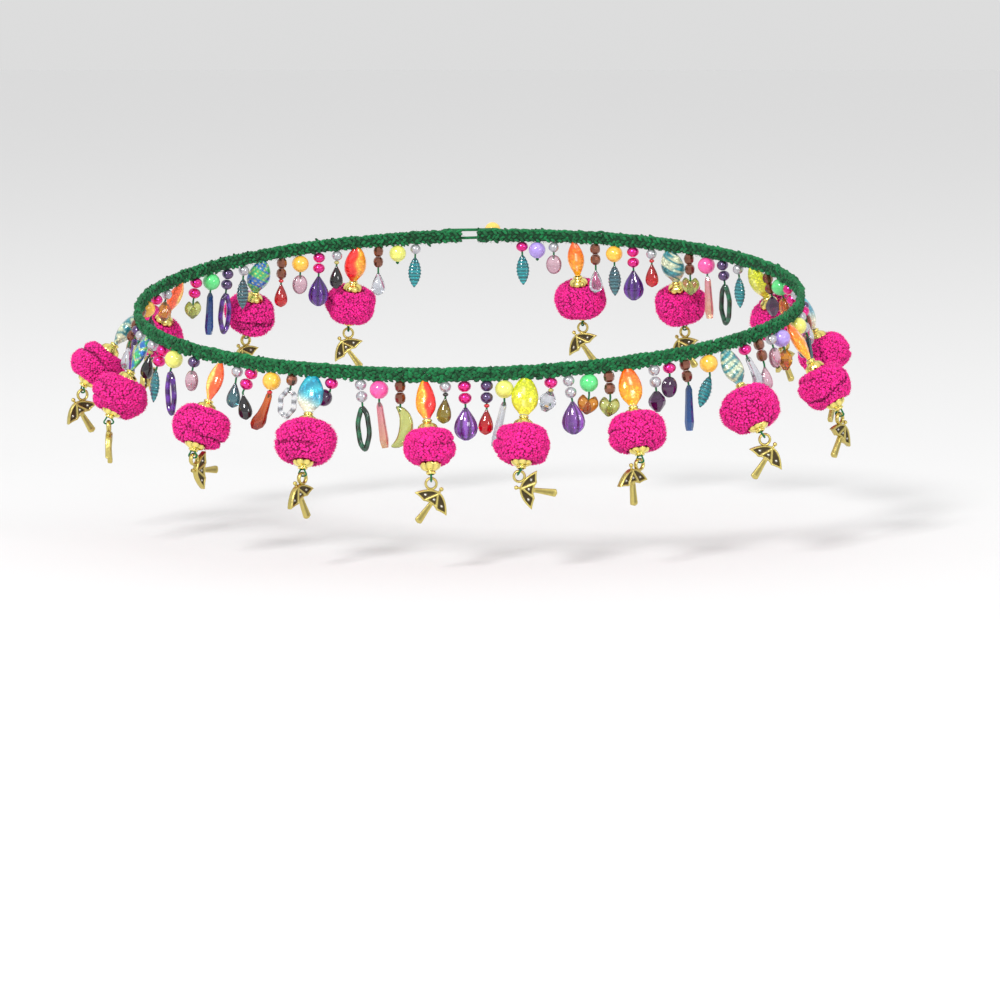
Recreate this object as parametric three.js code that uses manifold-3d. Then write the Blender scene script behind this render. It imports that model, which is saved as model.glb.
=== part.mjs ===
// A crocheted waist belt with bead strings, pompom pendants and umbrella charms, held in the
// pose it has when worn. Millimetres, +Z up, -Y is the wearer's front, +X is the viewer's right.
// The origin is the middle of the belt's ring, on the wearer's axis.
import * as THREE from "three";
import { mergeVertices } from "three/addons/utils/BufferGeometryUtils.js";
import Module from "manifold-3d";

const wasm = await Module();
wasm.setup();

// ---- driving dimensions -------------------------------------------------------------------
const HALF_WIDTH = 175; // ring's half width, at the middle of the band's wall
const HALF_DEPTH = 120;
const FRONT_DROP_DEG = 13.7; // the belt sits lower in front than behind
const SIDE_TILT_DEG = 1.3; // and a little lower on the viewer's left
const SEAM_GAP = 0.3;

const BAND_HEIGHT = 4.6;
const BAND_THICKNESS = 3;
const STITCHES = 196;
const STITCH_RELIEF = 0.55; // how far each crochet stitch stands out
const STITCH_SCALLOP = 0.35; // how far it lifts the band's edge
const END_GAP = 8; // between the band's two ends, at the back

const EDGE_HEIGHT = 1.5; // crochet edge row that the strings are sewn into
const EDGE_THICKNESS = 1.9;
const EDGE_STEPS = 4;

// How far the strings lean outward off the vertical, over the wearer's hip
const BEADS_LEAN_DEG = { front: 3, side: 22 };
const DROP_LEAN_DEG = { front: 1, side: 7 };

const MAIN_BEAD_START = 1.1; // below the edge row's middle
const CAP_RADIUS = 5.4;
const THREAD_RADIUS = 0.45;

const EYE_DEPTH = 3.4; // thread eye below the bottom cap
const EYE_HALF_WIDTH = 2.55;

const CHARM_THICKNESS = 3;
const RING = { outer: 3.3, inner: 2, sides: 8 };

const CLOSURE = { length: 34, height: 6.4, cord: 1.8, buttonRadius: 4.6, stemRadius: 0.9 };

// ---- tables -------------------------------------------------------------------------------
// Where each pendant hangs: arc is its place along the belt from the front, and lean and sway
// its angles outward and sideways. bead is its top bead, pom the pompom's radius and height, and
// caps how much of its top and bottom bead caps shows. facing turns the charm's plate about the
// vertical, so that 0 faces the front, and swing turns it in its plane off the way it would hang.
// eyeLean tilts the thread eye sideways where the charm is caught beside its cap.
const PENDANTS = [
  { arc: -404, lean: 20, sway: 2, bead: "drop", pom: [14, 21], caps: [3.8, 2.4], facing: -170, swing: 0 },
  { arc: -348, lean: 27, sway: 0, bead: "shell", pom: [14.3, 20], caps: [3.8, 2.4], facing: -140, swing: 0 },
  { arc: -292, lean: 33, sway: -2, bead: "leaf", pom: [13.6, 21], caps: [3.8, 2.4], facing: -115, swing: 0 },
  { arc: -234, lean: 38, sway: 6, bead: "drop", pom: [14, 21.5], caps: [4.2, 2.8], facing: -150, swing: -4 },
  { arc: -196, lean: 28, sway: 0, bead: "leaf", pom: [14.3, 21], caps: [3.8, 2.4], facing: -88, swing: 0 },
  { arc: -133.5, lean: 24, sway: -3, bead: "leaf", pom: [14.8, 21.5], caps: [3.8, 2.4], facing: -122, swing: 50 },
  { arc: -80, lean: 22, sway: 2, bead: "shell", pom: [15.2, 23], caps: [4, 2.6], facing: -128, swing: -9 },
  { arc: -22.5, lean: 19, sway: 6, bead: "slim", pom: [12.6, 19.5], caps: [4.7, 4.2], facing: 3, swing: 0 },
  {
    arc: 28.5, lean: 20, sway: -5.5, bead: "wide", pom: [13.9, 20.5], caps: [4.6, 2.4],
    facing: 180, swing: 46, eyeLean: 30,
  },
  { arc: 81, lean: 22, sway: 0, bead: "drop", pom: [14.6, 20.5], caps: [3.6, 1.8], facing: -136, swing: -30 },
  {
    arc: 138, lean: 32, sway: 3, bead: "drop", pom: [15, 22.5], caps: [3.4, 1.8],
    facing: 4, swing: -4, eyeLean: 35,
  },
  { arc: 192, lean: 32, sway: 5, bead: "long", pom: [13.6, 22], caps: [4.8, 3.4], facing: 52, swing: -4 },
  { arc: 241, lean: 24, sway: 0, bead: "drop", pom: [13.6, 21], caps: [3.8, 2.4], facing: 70, swing: 0 },
  { arc: 297, lean: 33, sway: 0, bead: "wide", pom: [14.2, 20.5], caps: [3.8, 2.4], facing: 118, swing: 0 },
  { arc: 353, lean: 27, sway: 1, bead: "shell", pom: [13.9, 21.5], caps: [3.8, 2.4], facing: 150, swing: 0 },
  { arc: 409, lean: 20, sway: -2, bead: "leaf", pom: [14.1, 20.5], caps: [3.8, 2.4], facing: 165, swing: 0 },
];

// Top beads, with shoulder the share of the width that they have a quarter of the way down
const MAIN_BEADS = {
  slim: { length: 18.7, width: 10.4, depth: 8, shoulder: 0.68 },
  drop: { length: 18.7, width: 12.6, depth: 8, shoulder: 0.82 },
  wide: { length: 18.2, width: 13.8, depth: 8, shoulder: 0.84 },
  shell: { length: 18.2, width: 14.2, depth: 7.5, shoulder: 0.74 },
  leaf: { length: 19.2, width: 9.5, depth: 6, shoulder: 0.7 },
  long: { length: 21, width: 9.5, depth: 6, shoulder: 0.7 },
};

// Bead strings: beads is how many small beads lie above the drop, or "big" for one big bead,
// and drop is the drop's form. The beads hang at the angle sway sideways, and the drop at turn.
const STRINGS = [
  { arc: -437, beads: 1, drop: "leaf", sway: 2, turn: 2 },
  { arc: -427, beads: "big", drop: "none", sway: 1, turn: 0 },
  { arc: -416, beads: 2, drop: "tear", sway: 0, turn: 0 },
  { arc: -392.5, beads: 1, drop: "tear", sway: 2, turn: 1 },
  { arc: -382, beads: 2, drop: "ribbed", sway: 0, turn: 0 },
  { arc: -371, beads: "big", drop: "oval", sway: -1, turn: 2 },
  { arc: -360, beads: 2, drop: "tear", sway: 0, turn: 0 },
  { arc: -336.5, beads: 1, drop: "leaf", sway: 1, turn: 0 },
  { arc: -326, beads: 2, drop: "hoop", sway: 0, turn: 2 },
  { arc: -315, beads: "big", drop: "baton", sway: -2, turn: 0 },
  { arc: -304, beads: 2, drop: "pebble", sway: 0, turn: 0 },
  { arc: -280, beads: 1, drop: "facet", sway: 0, turn: 0 },
  { arc: -269.5, beads: 2, drop: "ribbed", sway: 1, turn: 0 },
  { arc: -258.5, beads: "big", drop: "leaf", sway: 0, turn: 2 },
  { arc: -247, beads: 2, drop: "tear", sway: 0, turn: 0 },
  { arc: -224, beads: 2, drop: "tear", sway: 0, turn: 0 },
  { arc: -215, beads: 1, drop: "hoop", sway: 4, turn: 3 },
  { arc: -206, beads: 1, drop: "oval", sway: 2, turn: 0 },
  { arc: -187.5, beads: 1, drop: "tear", sway: -12, turn: -14 },
  { arc: -177, beads: 2, drop: "leaf", sway: -12, turn: -2 },
  { arc: -166, beads: "big", drop: "hoop", sway: -10, turn: 8 },
  { arc: -151.5, beads: 1, drop: "oval", sway: -3, turn: -2 },
  { arc: -122.5, beads: 1, drop: "tear", sway: -6, turn: -8 },
  { arc: -113.2, beads: 2, drop: "tear", sway: -24, turn: 10 },
  { arc: -101.7, beads: "big", drop: "boot", sway: -8, turn: -16 },
  { arc: -90.8, beads: 1, drop: "loop", sway: -8, turn: -12 },
  { arc: -69.3, beads: 1, drop: "ball", sway: -10, turn: -48 },
  { arc: -55, beads: 2, drop: "hoop", sway: 6, turn: 3 },
  { arc: -45.3, beads: "big", drop: "baton", sway: 1, turn: 8 },
  { arc: -34.6, beads: 2, drop: "moon", sway: 1, turn: -7 },
  { arc: -12, beads: 1, drop: "tear", sway: 2, turn: -5 },
  { arc: -2.5, beads: 2, drop: "ribbed", sway: 3, turn: 1 },
  { arc: 8.8, beads: 2, drop: "tear", sway: 0, turn: -3 },
  { arc: 17.6, beads: "big", drop: "baton", sway: 0, turn: -13 },
  { arc: 41, beads: 1, drop: "facet", sway: 0, turn: -20 },
  { arc: 49.5, beads: 2, drop: "ribbed", sway: 10, turn: 3 },
  { arc: 60.5, beads: "big", drop: "pebble", sway: 0, turn: -10 },
  { arc: 70.8, beads: 2, drop: "pebble", sway: 3, turn: -8 },
  { arc: 95.2, beads: 2, drop: "facet", sway: 4, turn: 4 },
  { arc: 104, beads: 1, drop: "oval", sway: 0, turn: -4 },
  { arc: 112.6, beads: 2, drop: "baton", sway: 8, turn: 0 },
  { arc: 127, beads: "big", drop: "leaf", sway: 2, turn: -24 },
  { arc: 151, beads: 1, drop: "boot", sway: 12, turn: 38 },
  { arc: 162, beads: 2, drop: "tear", sway: 8, turn: 6 },
  { arc: 172.5, beads: 1, drop: "oval", sway: 6, turn: 8 },
  { arc: 181.5, beads: "big", drop: "facet", sway: 4, turn: -4 },
  { arc: 203, beads: "big", drop: "oval", sway: 0, turn: 0 },
  { arc: 212.5, beads: 2, drop: "baton", sway: -2, turn: 2 },
  { arc: 222, beads: 1, drop: "tear", sway: -2, turn: 0 },
  { arc: 231, beads: 1, drop: "oval", sway: 0, turn: -4 },
  { arc: 252, beads: 1, drop: "tear", sway: 0, turn: 0 },
  { arc: 262.5, beads: 2, drop: "ribbed", sway: 0, turn: 0 },
  { arc: 273.5, beads: "big", drop: "oval", sway: 0, turn: -2 },
  { arc: 284.5, beads: 2, drop: "facet", sway: 0, turn: 0 },
  { arc: 308, beads: 1, drop: "leaf", sway: 1, turn: 1 },
  { arc: 319, beads: 2, drop: "hoop", sway: 0, turn: 0 },
  { arc: 330, beads: "big", drop: "baton", sway: 0, turn: -2 },
  { arc: 341, beads: 2, drop: "pebble", sway: 0, turn: 0 },
  { arc: 364, beads: 1, drop: "tear", sway: 0, turn: 0 },
  { arc: 375, beads: 2, drop: "ribbed", sway: 0, turn: 0 },
  { arc: 386, beads: "big", drop: "leaf", sway: 0, turn: -1 },
  { arc: 397, beads: 2, drop: "tear", sway: -1, turn: 0 },
  { arc: 420.5, beads: 1, drop: "oval", sway: 0, turn: 0 },
  { arc: 430, beads: "big", drop: "none", sway: -1, turn: 0 },
  { arc: 438.5, beads: 1, drop: "leaf", sway: -2, turn: -2 },
];

// Drop forms, as length, width and depth, with full saying where along it the drop is widest.
const DROPS = {
  tear: { length: 14, width: 7.6, depth: 6.4, full: 0.72 },
  ribbed: { length: 16.5, width: 11.4, depth: 8, full: 0.64 },
  leaf: { length: 17, width: 6.8, depth: 4, full: 0.5 },
  hoop: { length: 23, width: 8, depth: 3, full: 0.55 },
  oval: { length: 10.5, width: 8.6, depth: 5, full: 0.55 },
  boot: { length: 20, width: 8.5, depth: 5.5, full: 0.8 },
  moon: { length: 20, width: 14, depth: 4.4, full: 0.55 },
  baton: { length: 23, width: 5, depth: 4.4, full: 0.6 },
  pebble: { length: 9, width: 11.6, depth: 5.6, full: 0.5 },
  facet: { length: 10.5, width: 9.2, depth: 7.6, full: 0.5 },
  loop: { length: 15.5, width: 10, depth: 4, full: 0.55 },
  ball: { length: 8.8, width: 8.8, depth: 8.8, full: 0.5 },
};

// The small beads of a string: reach is where they end and girth their radius
const TOP_BEADS = {
  1: { reach: 6.2, girth: 3 },
  2: { reach: 12.2, girth: 3.1 },
  big: { reach: 10, girth: 4.7 },
};
const DROP_THREAD = 1.6; // bare thread between the small beads and the drop

const MATERIALS = {
  crochet: new THREE.MeshStandardMaterial({ color: 0x0b5a35, roughness: 0.95 }),
  bead: new THREE.MeshStandardMaterial({ color: 0xd8a53c, roughness: 0.2 }),
  pompom: new THREE.MeshStandardMaterial({ color: 0xf0188c, roughness: 1 }),
  brass: new THREE.MeshStandardMaterial({ color: 0x8f7c3c, roughness: 0.45, metalness: 1 }),
};

// ---- the belt's ring ----------------------------------------------------------------------
const DOWN = new THREE.Vector3(0, 0, -1);
const rad = THREE.MathUtils.degToRad;
const wornTilt = new THREE.Quaternion()
  .setFromAxisAngle(new THREE.Vector3(0, 1, 0), -rad(SIDE_TILT_DEG))
  .multiply(new THREE.Quaternion().setFromAxisAngle(new THREE.Vector3(1, 0, 0), rad(FRONT_DROP_DEG)));

// Arc length from the front against the ellipse's parameter, for half the ring
const ARC_STEPS = 4000;
const arcTable = [0];
for (let i = 1; i <= ARC_STEPS; i++) {
  const t = ((i - 0.5) / ARC_STEPS) * Math.PI;
  const speed = Math.hypot(HALF_WIDTH * Math.cos(t), HALF_DEPTH * Math.sin(t));
  arcTable.push(arcTable[i - 1] + (speed * Math.PI) / ARC_STEPS);
}
const HALF_GIRTH = arcTable[ARC_STEPS];

function ringAngle(arc) {
  const wanted = Math.abs(arc);
  let low = 0;
  let high = ARC_STEPS;
  while (high - low > 1) {
    const middle = (low + high) >> 1;
    if (arcTable[middle] < wanted) low = middle;
    else high = middle;
  }
  const part = (wanted - arcTable[low]) / (arcTable[high] - arcTable[low]);
  return (Math.sign(arc) * (low + part) * Math.PI) / ARC_STEPS;
}

// The ring at an arc length: its middle point, and the directions along, out of and up the wall
function beltFrame(arc) {
  const t = ringAngle(arc);
  const middle = new THREE.Vector3(HALF_WIDTH * Math.sin(t), -HALF_DEPTH * Math.cos(t), 0);
  const along = new THREE.Vector3(HALF_WIDTH * Math.cos(t), HALF_DEPTH * Math.sin(t), 0).normalize();
  const up = new THREE.Vector3(0, 0, 1);
  const out = along.clone().cross(up);
  for (const v of [middle, along, up, out]) v.applyQuaternion(wornTilt);
  return { middle, along, up, out };
}

function wallPoint(frame, out, up) {
  return frame.middle.clone().addScaledVector(frame.out, out).addScaledVector(frame.up, up);
}

// ---- solids from rings of points ----------------------------------------------------------
// Joins rings of equal size into one closed solid, with a flat fan over each end, or runs the
// last ring on to the first where the solid closes on itself.
function loft(rings, closed = false) {
  const sides = rings[0].length;
  const points = rings.flat();
  const index = [];
  const turns = closed ? rings.length : rings.length - 1;
  for (let i = 0; i < turns; i++) {
    const here = i * sides;
    const next = ((i + 1) % rings.length) * sides;
    for (let j = 0; j < sides; j++) {
      const k = (j + 1) % sides;
      index.push(here + j, next + j, next + k, here + j, next + k, here + k);
    }
  }
  if (!closed) {
    const last = (rings.length - 1) * sides;
    for (let j = 1; j < sides - 1; j++) {
      index.push(0, j, j + 1);
      index.push(last, last + j + 1, last + j);
    }
  }
  const geometry = new THREE.BufferGeometry().setFromPoints(points);
  geometry.setIndex(index);
  return geometry;
}

// A geometry as a manifold-3d solid with its faces pointing out
function solidOf(geometry) {
  const bare = geometry.clone();
  bare.deleteAttribute("normal");
  bare.deleteAttribute("uv");
  const merged = mergeVertices(bare, 1e-4);
  const triVerts = new Uint32Array(merged.index.array);
  const vertProperties = merged.attributes.position.array;
  let solid = new wasm.Manifold(new wasm.Mesh({ numProp: 3, vertProperties, triVerts }));
  if (solid.volume() < 0) {
    for (let i = 0; i < triVerts.length; i += 3) {
      [triVerts[i + 1], triVerts[i + 2]] = [triVerts[i + 2], triVerts[i + 1]];
    }
    solid = new wasm.Manifold(new wasm.Mesh({ numProp: 3, vertProperties, triVerts }));
  }
  return solid;
}

function geometryOf(solid) {
  const mesh = solid.getMesh();
  const geometry = new THREE.BufferGeometry();
  geometry.setAttribute("position", new THREE.BufferAttribute(mesh.vertProperties, 3));
  geometry.setIndex(new THREE.BufferAttribute(mesh.triVerts, 1));
  geometry.computeVertexNormals();
  return geometry;
}

const joined = (parts) => parts.map(solidOf).reduce((all, part) => all.add(part));

// Which way is outward from the belt at an arc length, level
function outwardAt(arc) {
  const { out } = beltFrame(arc);
  return new THREE.Vector3(out.x, out.y, 0).normalize();
}

// The point of the edge row that a pendant or string hangs from
const edgePoint = (arc) =>
  wallPoint(beltFrame(arc), 0, -(BAND_HEIGHT / 2 + SEAM_GAP + EDGE_HEIGHT / 2));

// A line that hangs from a point: its direction, and the two directions across it, one along the
// belt and one through the cloth.
function hangingLine(start, outward, leanDeg, swayDeg) {
  const sideways = new THREE.Vector3(-outward.y, outward.x, 0);
  const along = DOWN.clone()
    .multiplyScalar(Math.cos(rad(leanDeg)))
    .addScaledVector(outward, Math.sin(rad(leanDeg)))
    .addScaledVector(sideways, Math.tan(rad(swayDeg)))
    .normalize();
  const across = sideways.clone().addScaledVector(along, -sideways.dot(along)).normalize();
  const through = across.clone().cross(along);
  return { start, along, across, through };
}

const pendantLine = ({ arc, lean, sway }) => hangingLine(edgePoint(arc), outwardAt(arc), lean, sway);

const linePoint = (line, at) => line.start.clone().addScaledVector(line.along, at);

// Rings about a hanging line: each station is [distance along it, half width, half depth]
function stationRings(line, stations, sides, bulge = () => 1) {
  return stations.map(([at, halfWidth, halfDepth = halfWidth], i) => {
    const ring = [];
    for (let j = 0; j < sides; j++) {
      const turn = ((j + 0.5) / sides) * Math.PI * 2;
      const r = bulge(i, j);
      ring.push(
        linePoint(line, at)
          .addScaledVector(line.across, Math.cos(turn) * halfWidth * r)
          .addScaledVector(line.through, Math.sin(turn) * halfDepth * r),
      );
    }
    return ring;
  });
}

// ---- crocheted band -----------------------------------------------------------------------
// An open ring whose outer face carries two rows of stitches that stand out in turn
function bandGeometry() {
  const start = -HALF_GIRTH + END_GAP / 2;
  const length = 2 * HALF_GIRTH - END_GAP;
  const rings = [];
  for (let i = 0; i <= 2 * STITCHES; i++) {
    const frame = beltFrame(start + (length * i) / (2 * STITCHES));
    const upper = i % 2 ? 0 : 1;
    const lower = 1 - upper;
    const face = BAND_THICKNESS / 2 - STITCH_RELIEF;
    const half = BAND_HEIGHT / 2;
    rings.push([
      wallPoint(frame, face + STITCH_RELIEF * upper, half - STITCH_SCALLOP * lower),
      wallPoint(frame, face + STITCH_RELIEF, 0),
      wallPoint(frame, face + STITCH_RELIEF * lower, -half + STITCH_SCALLOP * upper),
      wallPoint(frame, -BAND_THICKNESS / 2, -half),
      wallPoint(frame, -BAND_THICKNESS / 2, half),
    ]);
  }
  return loft(rings);
}

// ---- bead strings -------------------------------------------------------------------------
// The stretch of edge row between two pendants, which the strings and the top bead are sewn to
function edgeRow(from, to) {
  const rings = [];
  for (let i = 0; i <= EDGE_STEPS; i++) {
    const frame = beltFrame(from + ((to - from) * i) / EDGE_STEPS);
    const middle = -(BAND_HEIGHT / 2 + SEAM_GAP + EDGE_HEIGHT / 2);
    const o = EDGE_THICKNESS / 2;
    const u = EDGE_HEIGHT / 2;
    rings.push([
      wallPoint(frame, o, middle + u),
      wallPoint(frame, o, middle - u),
      wallPoint(frame, -o, middle - u),
      wallPoint(frame, -o, middle + u),
    ]);
  }
  return loft(rings);
}

const STRING_SIDES = 4;
const leanAt = ({ front, side }, outward) => front + (side - front) * outward.x ** 2;

function beadString({ arc, beads, drop, sway, turn }) {
  const outward = outwardAt(arc);
  const { reach, girth } = TOP_BEADS[beads];
  const beadLine = hangingLine(edgePoint(arc), outward, leanAt(BEADS_LEAN_DEG, outward), sway);
  const beadStations = [
    [0, 0.8],
    [(reach + 1) / 2, girth],
    [reach, 0.8],
  ];
  const rings = stationRings(beadLine, beadStations, STRING_SIDES);
  if (drop === "none") return loft(rings);

  const { length, width, depth, full } = DROPS[drop];
  const dropTop = linePoint(beadLine, reach + DROP_THREAD);
  const dropLine = hangingLine(dropTop, outward, leanAt(DROP_LEAN_DEG, outward), turn);
  const dropStations = [
    [0, 0.8],
    [length * full, width / 2, depth / 2],
    [length, width * 0.16, depth * 0.2],
  ];
  return loft([...rings, ...stationRings(dropLine, dropStations, STRING_SIDES)]);
}

const BEAD_SIDES = 6;
function mainBead(pendant) {
  const { length, width, depth, shoulder } = MAIN_BEADS[pendant.bead];
  const line = pendantLine(pendant);
  const stations = [
    [0, 0.7],
    [MAIN_BEAD_START, 1],
    [MAIN_BEAD_START + length * 0.27, (width / 2) * shoulder, (depth / 2) * shoulder],
    [MAIN_BEAD_START + length * 0.6, width / 2, depth / 2],
    [MAIN_BEAD_START + length * 0.85, width * 0.33, depth * 0.34],
    [MAIN_BEAD_START + length, 1.4],
  ];
  return loft(stationRings(line, stations, BEAD_SIDES));
}

// ---- pompoms ------------------------------------------------------------------------------
// Where the top cap begins along the pendant's line, and where the bottom cap ends
const capStart = ({ bead }) => MAIN_BEAD_START + MAIN_BEADS[bead].length + SEAM_GAP;
const capEnd = (pendant) => capStart(pendant) + pendant.caps[0] + pendant.pom[1] + pendant.caps[1];

// The thread eye that the charm's ring hangs in: a square-section U under the bottom cap
function threadEye(foot, holeAxis, down) {
  const path = [
    [EYE_HALF_WIDTH, 1.6],
    [EYE_HALF_WIDTH, -EYE_DEPTH + 0.9],
    [EYE_HALF_WIDTH - 0.6, -EYE_DEPTH + 0.05],
    [-EYE_HALF_WIDTH + 0.6, -EYE_DEPTH + 0.05],
    [-EYE_HALF_WIDTH, -EYE_DEPTH + 0.9],
    [-EYE_HALF_WIDTH, 1.6],
  ];
  const side = holeAxis.clone().cross(down);
  const points = path.map(([h, z]) => foot.clone().addScaledVector(holeAxis, h).addScaledVector(down, -z));
  const rings = points.map((point, i) => {
    const before = points[Math.max(i - 1, 0)];
    const after = points[Math.min(i + 1, points.length - 1)];
    const along = after.clone().sub(before).normalize();
    const normal = along.clone().cross(side).normalize();
    return [1, 0, -1, 0].map((n, j) =>
      point
        .clone()
        .addScaledVector(normal, n * THREAD_RADIUS)
        .addScaledVector(side, [0, 1, 0, -1][j] * THREAD_RADIUS),
    );
  });
  return loft(rings);
}

const POM_SIDES = 8;
const POM_TUFT = 0.07; // how far the cut yarn's tufts stand out, as a share of the radius
// Pompom profile: share of the height from the top, and share of the radius
const POM_PROFILE = [
  [0.03, 0.55],
  [0.2, 0.88],
  [0.48, 1],
  [0.78, 0.9],
  [0.97, 0.56],
];

function pompomSolid(pendant, number) {
  const line = pendantLine(pendant);
  const [radius, height] = pendant.pom;
  const top = capStart(pendant);
  const pomTop = top + pendant.caps[0];
  const foot = capEnd(pendant);
  const stations = [
    [top, 1.2],
    [top + 0.6, 2.8],
    [pomTop, CAP_RADIUS],
    ...POM_PROFILE.map(([down, share]) => [pomTop + height * down, radius * share]),
    [pomTop + height, CAP_RADIUS],
    [foot - 0.6, 3],
    [foot, 1.2],
  ];
  const firstTuft = 3;
  const lastTuft = firstTuft + POM_PROFILE.length - 1;
  const tuft = (i, j) => {
    if (i < firstTuft || i > lastTuft) return 1;
    return 1 + ((i + j + number) % 2 ? POM_TUFT : -POM_TUFT) * (i === firstTuft || i === lastTuft ? 0.4 : 1);
  };
  const body = loft(stationRings(line, stations, POM_SIDES, tuft));
  return joined([body, threadEye(linePoint(line, foot), holeAxis(pendant), eyeDown(pendant))]);
}

// ---- umbrella charms ----------------------------------------------------------------------
// The umbrella upright, with the foot of its ball tip near the origin: half the canopy's width,
// the drop of its corners and of its two rib feet, the dome's top and the point that its curve
// bends towards, the scallop between the rib feet, the ball tip, and the shaft.
const UMBRELLA = {
  halfWidth: 9.8,
  cornerDrop: 8,
  domeTop: 0.7,
  domeBend: { across: 6.1, drop: 1.9 },
  ribFoot: { across: 4, drop: 8.6 },
  scallopTop: 7.4,
  tip: { halfWidth: 1, height: 1.9 },
  shaft: { topHalfWidth: 1.2, endHalfWidth: 2.1, end: 19.3, endRound: 1.3 },
};
const RING_OFFSET = { across: -5.8, up: 0.5 }; // the ring's middle, from the umbrella's tip
const HANGING_TURN_DEG = 36.3; // turns the umbrella so that its weight lies below the ring

function umbrellaShape() {
  const { halfWidth, cornerDrop, domeTop, domeBend, ribFoot, scallopTop, tip, shaft } = UMBRELLA;
  const shape = new THREE.Shape();
  shape.moveTo(-halfWidth, -cornerDrop);
  shape.quadraticCurveTo(-domeBend.across, -domeBend.drop, -tip.halfWidth, -domeTop);
  shape.lineTo(-tip.halfWidth, tip.height);
  shape.lineTo(tip.halfWidth, tip.height);
  shape.lineTo(tip.halfWidth, -domeTop);
  shape.quadraticCurveTo(domeBend.across, -domeBend.drop, halfWidth, -cornerDrop);
  shape.lineTo(ribFoot.across, -ribFoot.drop);
  shape.lineTo(shaft.topHalfWidth, -scallopTop);
  shape.lineTo(shaft.endHalfWidth, -shaft.end + shaft.endRound);
  shape.lineTo(shaft.endHalfWidth * 0.4, -shaft.end);
  shape.lineTo(-shaft.endHalfWidth * 0.4, -shaft.end);
  shape.lineTo(-shaft.endHalfWidth, -shaft.end + shaft.endRound);
  shape.lineTo(-shaft.topHalfWidth, -scallopTop);
  shape.lineTo(-ribFoot.across, -ribFoot.drop);
  return shape;
}

function circlePoints(radius, sides, x, y) {
  const points = [];
  for (let i = 0; i < sides; i++) {
    const turn = ((i + 0.5) / sides) * Math.PI * 2;
    points.push(new THREE.Vector2(x + radius * Math.cos(turn), y + radius * Math.sin(turn)));
  }
  return points;
}

function charmSolid() {
  const slab = { depth: CHARM_THICKNESS, bevelEnabled: false, curveSegments: 2 };
  const { across, up } = RING_OFFSET;
  const canopy = new THREE.ExtrudeGeometry(umbrellaShape(), slab);
  const ringShape = new THREE.Shape(circlePoints(RING.outer, RING.sides, across, up));
  ringShape.holes.push(new THREE.Path(circlePoints(RING.inner, RING.sides, across, up).reverse()));
  const ring = new THREE.ExtrudeGeometry(ringShape, slab);
  return joined([canopy, ring]);
}

// The charm's plate faces this way, and its ring's hole runs along it
function holeAxis({ facing }) {
  const turn = rad(facing);
  return new THREE.Vector3(Math.sin(turn), -Math.cos(turn), 0);
}

// The way the thread eye hangs from the bottom cap
function eyeDown(pendant) {
  return DOWN.clone().applyAxisAngle(holeAxis(pendant), rad(pendant.eyeLean ?? 0));
}

// Where the charm turns: the middle of the thread in its ring
function charmPivot(pendant) {
  return linePoint(pendantLine(pendant), capEnd(pendant)).addScaledVector(eyeDown(pendant), EYE_DEPTH);
}

function placeCharm(mesh, pendant) {
  const toward = holeAxis(pendant);
  const right = new THREE.Vector3(0, 0, 1).cross(toward).normalize();
  const up = new THREE.Vector3(0, 0, 1);
  const upright = new THREE.Matrix4().makeBasis(right, up, toward);
  const turned = new THREE.Matrix4().makeRotationZ(-rad(HANGING_TURN_DEG + pendant.swing));
  // the thread lies at the top of the hole, one clearance below its rim
  const hang = RING.inner * Math.cos(Math.PI / RING.sides) - THREAD_RADIUS - SEAM_GAP;
  const swing = rad(pendant.swing);
  const ringMiddle = charmPivot(pendant)
    .addScaledVector(up, -hang * Math.cos(swing))
    .addScaledVector(right, -hang * Math.sin(swing));
  const fromRing = new THREE.Matrix4();
  fromRing.makeTranslation(-RING_OFFSET.across, -RING_OFFSET.up, -CHARM_THICKNESS / 2);
  const place = new THREE.Matrix4()
    .makeTranslation(ringMiddle.x, ringMiddle.y, ringMiddle.z)
    .multiply(upright)
    .multiply(turned)
    .multiply(fromRing);
  mesh.applyMatrix4(place);
}

// ---- closure ------------------------------------------------------------------------------
// A cord loop sewn to one end of the band, which passes round the button at the other end
function closureLoop() {
  const { length, height, cord } = CLOSURE;
  const steps = 20;
  const out = BAND_THICKNESS / 2 + 2 * SEAM_GAP + cord / 2;
  const half = (height - cord) / 2;
  const straight = length / 2 - cord / 2 - half;
  const rings = [];
  for (let i = 0; i < steps; i++) {
    const turn = ((i + 0.5) / steps) * Math.PI * 2;
    const s = Math.sign(Math.cos(turn)) * straight + half * Math.cos(turn);
    const u = half * Math.sin(turn);
    const ring = [];
    for (let j = 0; j < 5; j++) {
      const around = (j / 5) * Math.PI * 2;
      const outer = (cord / 2) * Math.cos(around);
      const side = (cord / 2) * Math.sin(around);
      const place = beltFrame(HALF_GIRTH - s - side * Math.cos(turn));
      ring.push(wallPoint(place, out + outer, u + side * Math.sin(turn)));
    }
    rings.push(ring);
  }
  return loft(rings, true);
}

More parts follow.
